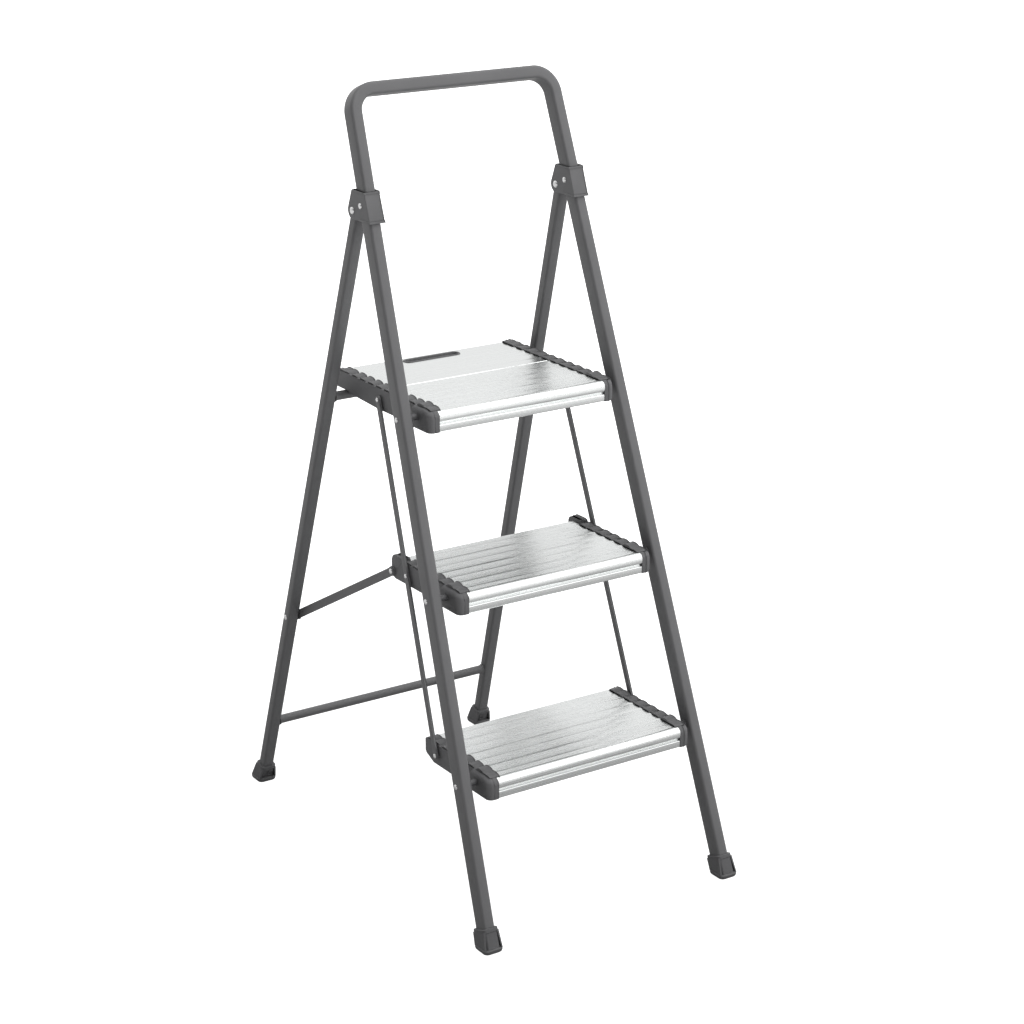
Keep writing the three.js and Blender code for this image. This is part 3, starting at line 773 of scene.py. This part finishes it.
def rib_tree():
    """Node tree that lays fine ribs side by side on a tread."""
    tree = bpy.data.node_groups.new("fine_ribs", "GeometryNodeTree")
    face = tree.interface
    face.new_socket("Geometry", in_out="INPUT", socket_type="NodeSocketGeometry")
    for name in ("Length", "Height", "Pitch", "Start", "Level", "Groove", "Groove Pitch", "Clear"):
        face.new_socket(name, in_out="INPUT", socket_type="NodeSocketFloat")
    face.new_socket("Ribs", in_out="INPUT", socket_type="NodeSocketInt")
    face.new_socket("Finish", in_out="INPUT", socket_type="NodeSocketMaterial")
    face.new_socket("Geometry", in_out="OUTPUT", socket_type="NodeSocketGeometry")
    nodes, links = tree.nodes, tree.links
    start = nodes.new("NodeGroupInput")
    end = nodes.new("NodeGroupOutput")
    row = nodes.new("GeometryNodeMeshLine")
    row.mode = "OFFSET"
    links.new(start.outputs["Ribs"], row.inputs["Count"])
    place = nodes.new("ShaderNodeCombineXYZ")
    links.new(start.outputs["Start"], place.inputs["Y"])
    links.new(start.outputs["Level"], place.inputs["Z"])
    links.new(place.outputs[0], row.inputs["Start Location"])
    step = nodes.new("ShaderNodeCombineXYZ")
    links.new(start.outputs["Pitch"], step.inputs["Y"])
    links.new(step.outputs[0], row.inputs["Offset"])
    rod = nodes.new("GeometryNodeMeshCylinder")
    rod.inputs["Vertices"].default_value = 10
    links.new(start.outputs["Height"], rod.inputs["Radius"])
    links.new(start.outputs["Length"], rod.inputs["Depth"])
    put = nodes.new("GeometryNodeInstanceOnPoints")
    put.inputs["Rotation"].default_value = (0, math.pi / 2, 0)
    put.inputs["Scale"].default_value = (1, RIB_SPREAD, 1)
    links.new(clear_of_grooves(tree, start, row.outputs["Mesh"]), put.inputs["Points"])
    links.new(rod.outputs["Mesh"], put.inputs["Instance"])
    real = nodes.new("GeometryNodeRealizeInstances")
    links.new(put.outputs["Instances"], real.inputs["Geometry"])
    join = nodes.new("GeometryNodeJoinGeometry")
    links.new(start.outputs["Geometry"], join.inputs["Geometry"])
    links.new(real.outputs["Geometry"], join.inputs["Geometry"])
    paint_all = nodes.new("GeometryNodeSetMaterial")
    links.new(join.outputs["Geometry"], paint_all.inputs["Geometry"])
    links.new(start.outputs["Finish"], paint_all.inputs["Material"])
    links.new(paint_all.outputs["Geometry"], end.inputs["Geometry"])
    return tree


def settle(obj, tree, values):
    """Runs a node tree with named inputs on a piece and keeps the result as its mesh."""
    modifier = obj.modifiers.new(tree.name, "NODES")
    modifier.node_group = tree
    sockets = {s.name: s.identifier for s in tree.interface.items_tree if s.in_out == "INPUT"}
    for name, value in values.items():
        modifier[sockets[name]] = value
    bpy.context.view_layer.update()
    graph = bpy.context.evaluated_depsgraph_get()
    mesh = bpy.data.meshes.new_from_object(obj.evaluated_get(graph))
    obj.modifiers.remove(modifier)
    obj.data = mesh


class STOOL_OT_treads(bpy.types.Operator):
    """Ribbed aluminium treads and the two panels of the platform"""

    bl_idname = "stool.treads"
    bl_label = "Treads"

    def panel(self, context, name, level, outline, front, back, replaces, cut=None):
        sizes = context.scene.stool_sizes
        half = tread_half(level)
        py, pz = tread_pivot(level)
        piece = Piece()
        piece.prism(outline, -half, half)
        piece.move(py, pz)
        obj = piece.make(name, aluminium(context))
        first = sizes.first_groove + sizes.rib_pitch / 2
        first += math.ceil((front - first) / sizes.rib_pitch) * sizes.rib_pitch
        count = int((back - first) / sizes.rib_pitch) + 1
        settle(
            obj,
            shared_tree("fine_ribs", rib_tree),
            {
                "Length": (2 * half - RIB_SHORT) / 1000,
                "Height": sizes.rib_height / 1000,
                "Pitch": sizes.rib_pitch / 1000,
                "Start": (first + py - FLOOR_MIDDLE) / 1000,
                "Groove": (sizes.first_groove + py - FLOOR_MIDDLE) / 1000,
                "Groove Pitch": sizes.groove_pitch / 1000,
                "Clear": sizes.rib_pitch / 1000,
                "Level": (pz + TREAD_TOP) / 1000,
                "Ribs": count,
                "Finish": aluminium(context),
            },
        )
        if cut:
            cut(obj, level)
        obj.data.shade_smooth()
        obj.data.set_sharp_from_angle(angle=math.radians(30))
        return adopt(obj, BODIES[level], replaces)

    def execute(self, context):
        sizes = context.scene.stool_sizes
        under = TREAD_TOP - TREAD_WALL
        for level in ("lower", "middle"):
            outline = [
                (TREAD_BACK, TREAD_TOP - 0.5),
                (TREAD_BACK - 0.5, TREAD_TOP),
                *grooves(sizes, NOSE_TOP, TREAD_BACK),
                *nose_outline(),
                *webs(WEB_PLACES["tread"]),
                (TREAD_BACK - TREAD_WALL, under),
                (TREAD_BACK - TREAD_WALL, -10),
                (TREAD_BACK, -10),
            ]
            name, replaces = f"{level}_tread_panel", [f"{level}_tread"]
            self.panel(context, name, level, outline, -20, TREAD_BACK - 1, replaces)
        seam = PLATFORM_SEAM - 0.4
        outline = [
            (seam, TREAD_TOP - 0.8),
            (seam - 0.8, TREAD_TOP),
            *grooves(sizes, NOSE_TOP, seam),
            *nose_outline(),
            *webs(WEB_PLACES["front"]),
            (seam - TREAD_WALL, under),
            (seam - TREAD_WALL, -10),
            (seam, -10),
        ]
        replaces = ["platform_front_panel"]
        self.panel(context, "platform_front_board", "platform", outline, -20, seam - 1.6, replaces)
        back = PLATFORM_BACK
        front = PLATFORM_SEAM + 0.4
        outline = [
            (back, TREAD_TOP - 1.2),
            (back - 1.2, TREAD_TOP),
            *grooves(sizes, front, SLOT_BACK - 12),
            (front + 0.8, TREAD_TOP),
            (front, TREAD_TOP - 0.8),
            (front, -9),
            (front + TREAD_WALL, -9),
            (front + TREAD_WALL, under),
            *webs(WEB_PLACES["rear"]),
            (back - TREAD_WALL, under),
            (back - TREAD_WALL, -5),
            (back, -5),
        ]
        self.panel(
            context, "platform_rear_board", "platform", outline, front + 1, SLOT_BACK - 9,
            ["platform_rear_panel"], cut_slot,
        )
        return {"FINISHED"}


def shared_tree(name, make):
    """The node tree of that name, made once."""
    return bpy.data.node_groups.get(name) or make()


def obround(half, radius, y, steps=12):
    """A slot with round ends, along X."""
    reach = half - radius
    return arc(reach, y, radius, -90, 90, steps) + arc(-reach, y, radius, 90, 270, steps)


def cut_slot(obj, level):
    """Cuts the finger slot through a board."""
    piece = Piece()
    piece.prism(obround(SLOT_HALF + 0.2, SLOT_RADIUS + 0.2, SLOT_BACK), -40, 40, axis="z")
    piece.move(*tread_pivot(level))
    tool = piece.make("slot_tool", obj.data.materials[0])
    modifier = obj.modifiers.new("slot", "BOOLEAN")
    modifier.operation = "DIFFERENCE"
    modifier.solver = "EXACT"
    modifier.object = tool
    bpy.context.view_layer.update()
    graph = bpy.context.evaluated_depsgraph_get()
    mesh = bpy.data.meshes.new_from_object(obj.evaluated_get(graph))
    obj.modifiers.remove(modifier)
    obj.data = mesh
    bpy.data.objects.remove(tool)


class STOOL_OT_grip(bpy.types.Operator):
    """Moulded liner of the finger slot; its dark plastic also stands in for the shade inside the slot,
    as painted shade.
    """

    bl_idname = "stool.grip"
    bl_label = "Grip liner"

    def execute(self, context):
        piece = Piece()
        shape = [
            (SLOT_HALF, SLOT_RADIUS, -3.8),
            (SLOT_HALF, SLOT_RADIUS, 11.4),
            (SLOT_HALF + 1.4, SLOT_RADIUS + 1.4, 12.3),
            (SLOT_HALF + 1.4, SLOT_RADIUS + 1.4, 12.8),
            (SLOT_HALF + 0.8, SLOT_RADIUS + 0.8, 13.3),
            (SLOT_HALF - 1.2, SLOT_RADIUS - 1.2, 13.3),
            (SLOT_HALF - 2, SLOT_RADIUS - 2, 12.5),
            (SLOT_HALF - 2, SLOT_RADIUS - 2, -3.8),
        ]
        rings = [[(x, y, z) for x, y in obround(h, r, SLOT_BACK)] for h, r, z in shape]
        piece.loft(rings, closed=True)
        piece.move(*tread_pivot("platform"))
        replaces = ["platform_grip_liner"]
        # Dark cap plastic: a liner, and also painted shade for the inside of the slot.
        piece.finish("finger_slot_liner_and_shade", cap_plastic(context), "platform", replaces, "cap_plastic", 50)
        return {"FINISHED"}


# ---- end caps ----

CAP_RIM = 12.9
CAP_UNDER = -17.6
CAP_BEND, CAP_BEND_RADIUS = (-20.2, 1.1), 11.8
CAP_FRONT = -32.0
CREST_RADIUS = 7.0
BLOCK_BACK = 14.0
BODY_FRONT = -4
LIP_FRONT, LIP_GAP = -21, 0.25
LIP_BACK = {"lower": 137, "middle": 119, "platform": 226}


def cap_nose():
    """Front of the cap in side view, from the top round to the underside."""
    curve = [(y, z, 0) for y, z in arc(*CAP_BEND, CAP_BEND_RADIUS, 90, 172, 10)]
    return curve + [(CAP_FRONT, CAP_UNDER, 2)]


def cap_front(z):
    """How far forward the front block reaches at a height."""
    rise = max(0, z - CAP_BEND[1])
    return CAP_BEND[0] - math.sqrt(max(0, CAP_BEND_RADIUS**2 - rise**2))


CAP_TAILS = {
    "lower": [(118, CAP_UNDER, 3), (139.5, -8.5, 3), (139.5, CAP_RIM, 1.5)],
    "middle": [
        (118, CAP_UNDER, 4),
        (153, -18.2, 9),
        (153, 16.8, 8),
        (121.5, 16.8, 5),
        (120, CAP_RIM, 1),
    ],
    "platform": [
        (118, CAP_UNDER, 6),
        (189, -14.4, 5),
        (196, -11.8, 5),
        (227, -11.8, 4),
        (234.5, -5, 3),
        (234.5, CAP_RIM, 4),
    ],
}


class STOOL_OT_caps(bpy.types.Operator):
    """Moulded end caps with a scalloped lip"""

    bl_idname = "stool.caps"
    bl_label = "End caps"

    def cap(self, context, level, hand, side):
        half = tread_half(level)
        piece = Piece()

        def slab(outline, a, b, edge, inner_edge=0.4):
            low, high = sorted((side * a, side * b))
            low_edge, high_edge = (inner_edge, edge) if side > 0 else (edge, inner_edge)
            piece.prism(outline, low, high, edge=high_edge, low_edge=low_edge, steps=4)

        side_view = rounded(cap_nose() + CAP_TAILS[level], 6)
        slab(side_view, half + 0.3, half + 7, 1.0)
        body_front = [(BODY_FRONT, CAP_RIM - 0.6, 1), (BODY_FRONT, CAP_UNDER, 1)]
        body = rounded(body_front + CAP_TAILS[level], 6)
        slab(body, half + 1, half + CAP_BODY, 1.3)
        self.block(piece, half, side)
        self.scallops(context, piece, level, side)
        if level == "middle":
            ear = arc(*BRACE_ARM, 7.4, 0, 345, 23)
            slab(ear, half + 4, half + CAP_BODY - 0.2, 0.8)
        piece.move(*tread_pivot(level))
        replaces = [f"{level}_end_cap_{hand}"]
        piece.finish(
            f"{level}_cap_{hand}", cap_plastic(context), BODIES[level], replaces, "cap_plastic", 42
        )

    def block(self, piece, half, side):
        """Front block, its crown rounded over towards the outside and the nose."""
        crown = CAP_RIM - CREST_RADIUS
        heights = [CAP_UNDER, CAP_UNDER + 0.6, CAP_UNDER + 1.8, -8, 0, crown]
        for a in (12, 25, 38, 51, 64, 77, 88):
            heights.append(crown + CREST_RADIUS * math.sin(math.radians(a)))
        rings = []
        for z in heights:
            rise = max(0, z - crown) / CREST_RADIUS
            inset = CREST_RADIUS * (1 - math.sqrt(max(0, 1 - rise * rise)))
            inset += max(0, 1.8 - (z - CAP_UNDER)) * 0.8
            width = CAP_BLOCK - 1 - inset
            plan = rounded(
                [
                    (half + 1, cap_front(z) + 0.5, 0.8),
                    (half + 1 + width, cap_front(z) + 0.5, min(8.4, width - 1)),
                    (half + 1 + width, BLOCK_BACK, 1.2),
                    (half + 1, BLOCK_BACK, 0.8),
                ],
                8,
            )
            rings.append([(side * x, y, z) for x, y in plan])
        piece.loft(rings)

    def scallops(self, context, piece, level, side):
        """Lip over the tread's edge and the row of humps on it, the one at the pivot larger."""
        sizes = context.scene.stool_sizes
        half = tread_half(level)
        back = LIP_BACK[level]
        low, high = TREAD_TOP + LIP_GAP, CAP_RIM + 0.5
        lip = [(back, low), (back, high), (LIP_FRONT, high), (LIP_FRONT, low)]
        low, high = sorted((side * (half - 2.4), side * (half + 3)))
        piece.prism(lip, low, high, edge=0.5, steps=2)
        y = sizes.first_groove - sizes.scallop_pitch / 2
        while y < back:
            hump = abs(y - 0.2) < 9
            reach = sizes.scallop_pitch * (0.5 if hump else 0.42)
            middle = min(max(y, reach - 25), back - reach)
            rise = sizes.scallop_height * (2.0 if hump else 1.0) + CAP_RIM - TREAD_TOP
            crest = [
                (middle + reach * math.cos(a), TREAD_TOP + LIP_GAP + rise * math.sin(a) ** 1.3)
                for a in (math.pi * k / 12 for k in range(13))
            ]
            outer = half + CAP_BODY - 1.4
            low, high = sorted((side * (half - 4.6), side * outer))
            piece.prism(crest, low, high, edge=1.1, steps=3)
            y += sizes.scallop_pitch

    def execute(self, context):
        for level in LEVELS:
            for hand, side in SIDES.items():
                self.cap(context, level, hand, side)
        return {"FINISHED"}


# ---- linkage ----

# The brace is set outwards between these two fractions of its length.
SET_START, SET_END = 0.0633, 0.9367


def strap_outline(a, b, half_width, eye, steps=12):
    """A flat bar between two eyes, in side view."""
    direction = Vector((b[0] - a[0], b[1] - a[1]))
    angle = math.degrees(math.atan2(direction.y, direction.x))
    neck = math.degrees(math.asin(min(1, half_width / eye)))
    return arc(*b, eye, angle - 180 + neck, angle + 180 - neck, steps) + arc(
        *a, eye, angle + neck, angle + 360 - neck, steps
    )


def link_point(level):
    y, z = tread_pivot(level)
    return y + LINK_ARM[0], z + LINK_ARM[1]


class STOOL_OT_linkage(bpy.types.Operator):
    """Link bars and braces"""

    bl_idname = "stool.linkage"
    bl_label = "Linkage"

    def execute(self, context):
        for hand, side in SIDES.items():
            piece = Piece()
            inner = tread_half("middle") + CAP_BODY + LINK_PLAY
            low, high = sorted((side * inner, side * (inner + STRAP)))
            outline = strap_outline(link_point("lower"), link_point("platform"), 4, 5.2)
            piece.prism(outline, low, high, edge=0.6, steps=3)
            for v in piece.bm.verts:
                v.co.x -= side * FRONT_SPLAY * (v.co.z - LEVELS["middle"])
            replaces = [f"link_bar_{hand}"]
            piece.finish(f"link_strap_{hand}", paint(context), f"link_{hand}", replaces, "frame_paint")
            self.brace(context, hand, side)
        return {"FINISHED"}

    def brace(self, context, hand, side):
        """A brace, which runs outwards from the tread to the rear leg."""
        piece = Piece()
        py, pz = tread_pivot("middle")
        front = (py + BRACE_ARM[0], pz + BRACE_ARM[1])
        rear = on_rear_leg(BRACE_LEG_HEIGHT)
        inner = tread_half("middle") + CAP_BODY + 0.3
        outer = rear_half(BRACE_LEG_HEIGHT) - LEG_WIDTH / 2 - BRACE_PLAY - STRAP
        outline = strap_outline(front, rear, 5.5, 7)
        along = Vector((rear[0] - front[0], rear[1] - front[1]))
        length = along.length
        along.normalize()
        low, high = sorted((side * inner, side * (inner + STRAP)))
        piece.prism(outline, low, high, edge=0.6, steps=3)
        bm = piece.bm
        for k in (SET_START, 0.09, 0.9, SET_END):
            spot = Vector((0, front[0] + along.x * length * k, front[1] + along.y * length * k))
            everything = bm.verts[:] + bm.edges[:] + bm.faces[:]
            bmesh.ops.bisect_plane(bm, geom=everything, plane_co=spot, plane_no=(0, along.x, along.y))
        for v in bm.verts:
            t = ((v.co.y - front[0]) * along.x + (v.co.z - front[1]) * along.y) / length
            k = min(1, max(0, (t - SET_START) / (SET_END - SET_START)))
            v.co.x += side * (outer - inner) * k
        replaces = [f"brace_{hand}"]
        piece.finish(f"brace_strap_{hand}", paint(context), f"strut_{hand}", replaces, "frame_paint")


# ---- rivets and bushes ----


def dome(radius, height, base, outward, steps=7):
    """Profile of a rivet head, from its rim to its crown."""
    rim = [(base, radius * 0.96), (base + outward * height * 0.16, radius)]
    crown = [
        (
            base + outward * height * (0.16 + 0.84 * math.sin(a)),
            radius * math.cos(a) + 0.02,
        )
        for a in (math.pi / 2 * k / steps for k in range(1, steps + 1))
    ]
    return rim + crown


# Shank radius, head radius and head height of each kind of rivet.
HINGE_RIVET = (3, 5.2, 2.2)
FIXING_RIVET = (2.4, 4.1, 1.8)
PIVOT_RIVET = (3.2, 3.9, 1.9)
LINK_RIVET = (2.2, 3.3, 1.6)
BRACE_RIVET = (2.4, 4.0, 1.8)
FIXING_BEHIND, FIXING_HEIGHT = 1.6, 956.6
BUSH_RADIUS, BUSH_FLANGE = 4.6, 6.4


class STOOL_OT_rivets(bpy.types.Operator):
    """Rivets and the bushes under them"""

    bl_idname = "stool.rivets"
    bl_label = "Rivets"

    def rivet(self, context, kind, names, body, spot, base, tail, two_heads=False):
        """A rivet from its tail to the face under its head, with a head on one end or both."""
        name, node_name = names
        shank, radius, height = kind
        outward = 1 if base > tail else -1
        if two_heads:
            profile = [*reversed(dome(radius, height, tail, -outward)), (tail, shank)]
        else:
            profile = [(tail, shank * 0.9), (tail + outward * 0.4, shank)]
        profile += [(base, shank)] + dome(radius, height, base, outward)
        piece = Piece()
        piece.lathe_x(profile, *spot)
        piece.finish(name, rivet_metal(context), body, [node_name], "zinc", 40)

    def execute(self, context):
        for hand, side in SIDES.items():
            self.bracket_rivets(context, hand, side)
            for level in LEVELS:
                self.tread_rivets(context, level, hand, side)
                self.bush(context, level, hand, side)
            self.brace_rivets(context, hand, side)
        return {"FINISHED"}

    def bracket_rivets(self, context, hand, side):
        middle = front_half(BRACKET_MIDDLE)
        reach = RAIL_WIDTH / 2 + BRACKET_WALL
        ends = side * (middle + reach), side * (middle - reach)
        hinge = on_rear_leg(HINGE_HEIGHT)
        fixing = beside_rail(FIXING_BEHIND, FIXING_HEIGHT)
        names = f"hinge_pin_{hand}", f"hinge_rivet_{hand}"
        self.rivet(context, HINGE_RIVET, names, "front", hinge, *ends, True)
        names = f"fixing_pin_{hand}", f"bracket_fixing_rivet_{hand}"
        self.rivet(context, FIXING_RIVET, names, "front", fixing, *ends, True)

    def tread_rivets(self, context, level, hand, side):
        half = tread_half(level)
        names = f"{level}_pivot_pin_{hand}", f"{level}_pivot_rivet_{hand}"
        ends = side * (front_half(LEVELS[level]) + RAIL_WIDTH / 2), side * (half + 2)
        self.rivet(context, PIVOT_RIVET, names, "front", tread_pivot(level), *ends)
        names = f"{level}_link_pin_{hand}", f"{level}_link_rivet_{hand}"
        ends = side * (half + CAP_BODY + LINK_PLAY + STRAP + 0.3), side * (half + 3)
        self.rivet(context, LINK_RIVET, names, BODIES[level], link_point(level), *ends)

    def brace_rivets(self, context, hand, side):
        half = tread_half("middle")
        py, pz = tread_pivot("middle")
        names = f"brace_pin_{hand}", f"brace_front_rivet_{hand}"
        spot = py + BRACE_ARM[0], pz + BRACE_ARM[1]
        ends = side * (half + CAP_BODY + STRAP + 0.5), side * (half + 3)
        self.rivet(context, BRACE_RIVET, names, "middle_step", spot, *ends)
        leg = rear_half(BRACE_LEG_HEIGHT)
        names = f"leg_pin_{hand}", f"brace_leg_rivet_{hand}"
        ends = side * (leg + LEG_WIDTH / 2), side * (leg - LEG_WIDTH / 2 + 0.3)
        self.rivet(context, BRACE_RIVET, names, "rear", on_rear_leg(BRACE_LEG_HEIGHT), *ends)

    def bush(self, context, level, hand, side):
        """The bush between a cap and the rail, with a flange against the rail."""
        piece = Piece()
        a = tread_half(level) + CAP_BODY + 0.3
        b = front_half(LEVELS[level]) - RAIL_WIDTH / 2 - 0.4
        profile = [
            (a, BUSH_RADIUS - 0.4),
            (a + 0.7, BUSH_RADIUS),
            (b - 2.6, BUSH_RADIUS),
            (b - 2.1, BUSH_FLANGE),
            (b - 0.4, BUSH_FLANGE),
            (b, BUSH_FLANGE - 0.4),
        ]
        piece.lathe_x([(side * x, r) for x, r in profile], *tread_pivot(level))
        replaces = [f"{level}_pivot_bush_{hand}"]
        piece.finish(f"{level}_bush_{hand}", cap_plastic(context), "front", replaces, "cap_plastic")


# ---- studio ----

CAMERA_PLACE = (-1786.7, -2473.8, 1629.2)
CAMERA_LOOK = (0.51932, 0.79112, -0.32318)
KEY_PLACE, KEY_SIZE = (2.4, -3.0, 2.7), 5.2
TOP_PLACE, TOP_SIZE = (0.6, -0.6, 3.8), 3.8
LIGHT_TARGET = (0, 0, 0.5)
BRIGHT_END = (0.45, 0.8, 0.4)
FLOOR_REACH, FLOOR_DROP = 30, 0.0002


class STOOL_OT_studio(bpy.types.Operator):
    """Pale floor, soft lights and camera"""

    bl_idname = "stool.studio"
    bl_label = "Studio"

    def execute(self, context):
        studio = context.scene.stool_studio
        scene = context.scene
        scene.view_settings.view_transform = "Standard"
        self.room(scene, studio)
        self.floor()
        self.light("key", KEY_PLACE, KEY_SIZE, studio.key_power)
        self.light("top", TOP_PLACE, TOP_SIZE, studio.top_power)
        camera = bpy.data.objects.new("camera", bpy.data.cameras.new("camera"))
        scene.collection.objects.link(camera)
        camera.data.lens = studio.lens
        camera.data.sensor_width = 36
        x, y, z = CAMERA_PLACE
        camera.location = Vector((x, y - FLOOR_MIDDLE, z)) / 1000
        camera.rotation_euler = Vector(CAMERA_LOOK).to_track_quat("-Z", "Y").to_euler()
        camera.data.clip_end = 100
        scene.camera = camera
        return {"FINISHED"}

    def room(self, scene, studio):
        """White to the camera; for the light on the stool, darker to the left and in front."""
        world = bpy.data.worlds.new("white_room")
        world.use_nodes = True
        tree = world.node_tree
        back = tree.nodes["Background"]
        coords = tree.nodes.new("ShaderNodeTexCoord")
        facing = tree.nodes.new("ShaderNodeVectorMath")
        facing.operation = "DOT_PRODUCT"
        facing.inputs[1].default_value = BRIGHT_END
        tree.links.new(coords.outputs["Generated"], facing.inputs[0])
        grade = tree.nodes.new("ShaderNodeMapRange")
        grade.interpolation_type = "SMOOTHSTEP"
        grade.inputs["From Min"].default_value = -0.5
        grade.inputs["From Max"].default_value = 0.75
        grade.inputs["To Min"].default_value = studio.room_dark
        grade.inputs["To Max"].default_value = studio.room_bright
        tree.links.new(facing.outputs["Value"], grade.inputs["Value"])
        path = tree.nodes.new("ShaderNodeLightPath")
        seen = tree.nodes.new("ShaderNodeMix")
        tree.links.new(path.outputs["Is Camera Ray"], seen.inputs["Factor"])
        tree.links.new(grade.outputs["Result"], seen.inputs["A"])
        seen.inputs["B"].default_value = 1.0
        tree.links.new(seen.outputs["Result"], back.inputs["Strength"])
        back.inputs["Color"].default_value = (1, 1, 1, 1)
        scene.world = world

    def floor(self):
        """White to the camera; its colour darkens close to the stool, painted shade that the stool sees
        in its reflections and in the light bounced back to it.
        """
        mesh = bpy.data.meshes.new("floor")
        r = FLOOR_REACH
        mesh.from_pydata([(-r, -r, 0), (r, -r, 0), (r, r, 0), (-r, r, 0)], [], [(0, 1, 2, 3)])
        obj = bpy.data.objects.new("floor", mesh)
        bpy.context.scene.collection.objects.link(obj)
        obj.location.z = -FLOOR_DROP
        material, shader = new_material("pale_floor", (0.7, 0.7, 0.7), 0.9)
        shader.inputs["Specular IOR Level"].default_value = 0.0
        shader.inputs["Emission Color"].default_value = (1, 1, 1, 1)
        path = node(material, "ShaderNodeLightPath")
        links = material.node_tree.links
        links.new(path.outputs["Is Camera Ray"], shader.inputs["Emission Strength"])
        # Painted shade: the floor's colour runs from 0.4 within half a metre of the footprint's middle
        # up to 0.95 at 2.4 m.
        coords = node(material, "ShaderNodeTexCoord")
        length = node(material, "ShaderNodeVectorMath", operation="LENGTH")
        links.new(coords.outputs["Object"], length.inputs[0])
        shade = node(material, "ShaderNodeMapRange")
        for name, value in (("From Min", 0.5), ("From Max", 2.4), ("To Min", 0.4), ("To Max", 0.95)):
            shade.inputs[name].default_value = value
        links.new(length.outputs["Value"], shade.inputs["Value"])
        links.new(shade.outputs["Result"], shader.inputs["Base Color"])
        mesh.materials.append(material)

    def light(self, name, place, size, power):
        data = bpy.data.lights.new(name, "AREA")
        data.energy = power
        data.size = size
        obj = bpy.data.objects.new(name, data)
        bpy.context.scene.collection.objects.link(obj)
        obj.location = place
        aim = Vector(LIGHT_TARGET) - Vector(place)
        obj.rotation_euler = aim.to_track_quat("-Z", "Y").to_euler()


class STOOL_PT_panel(bpy.types.Panel):
    """Lists the stool's pieces"""

    bl_idname = "STOOL_PT_panel"
    bl_label = "Step stool"
    bl_space_type = "VIEW_3D"
    bl_region_type = "UI"
    bl_category = "Stool"

    def draw(self, context):
        for operator in OPERATORS:
            self.layout.operator(operator.bl_idname)
        for group in ("stool_look", "stool_sizes", "stool_studio"):
            settings = getattr(context.scene, group)
            for key in settings.bl_rna.properties.keys():
                if key not in ("rna_type", "name"):
                    self.layout.prop(settings, key)


OPERATORS = (
    STOOL_OT_front_frame,
    STOOL_OT_rear_frame,
    STOOL_OT_feet,
    STOOL_OT_brackets,
    STOOL_OT_treads,
    STOOL_OT_grip,
    STOOL_OT_caps,
    STOOL_OT_linkage,
    STOOL_OT_rivets,
    STOOL_OT_studio,
)
CLASSES = (StoolLook, StoolSizes, StoolStudio, *OPERATORS, STOOL_PT_panel)


def register():
    for cls in CLASSES:
        bpy.utils.register_class(cls)
    bpy.types.Scene.stool_look = PointerProperty(type=StoolLook)
    bpy.types.Scene.stool_sizes = PointerProperty(type=StoolSizes)
    bpy.types.Scene.stool_studio = PointerProperty(type=StoolStudio)


def unregister():
    del bpy.types.Scene.stool_look
    del bpy.types.Scene.stool_sizes
    del bpy.types.Scene.stool_studio
    for cls in reversed(CLASSES):
        bpy.utils.unregister_class(cls)


def main():
    register()
    for operator in OPERATORS:
        area, name = operator.bl_idname.split(".")
        getattr(getattr(bpy.ops, area), name)()


if __name__ == "__main__":
    main()
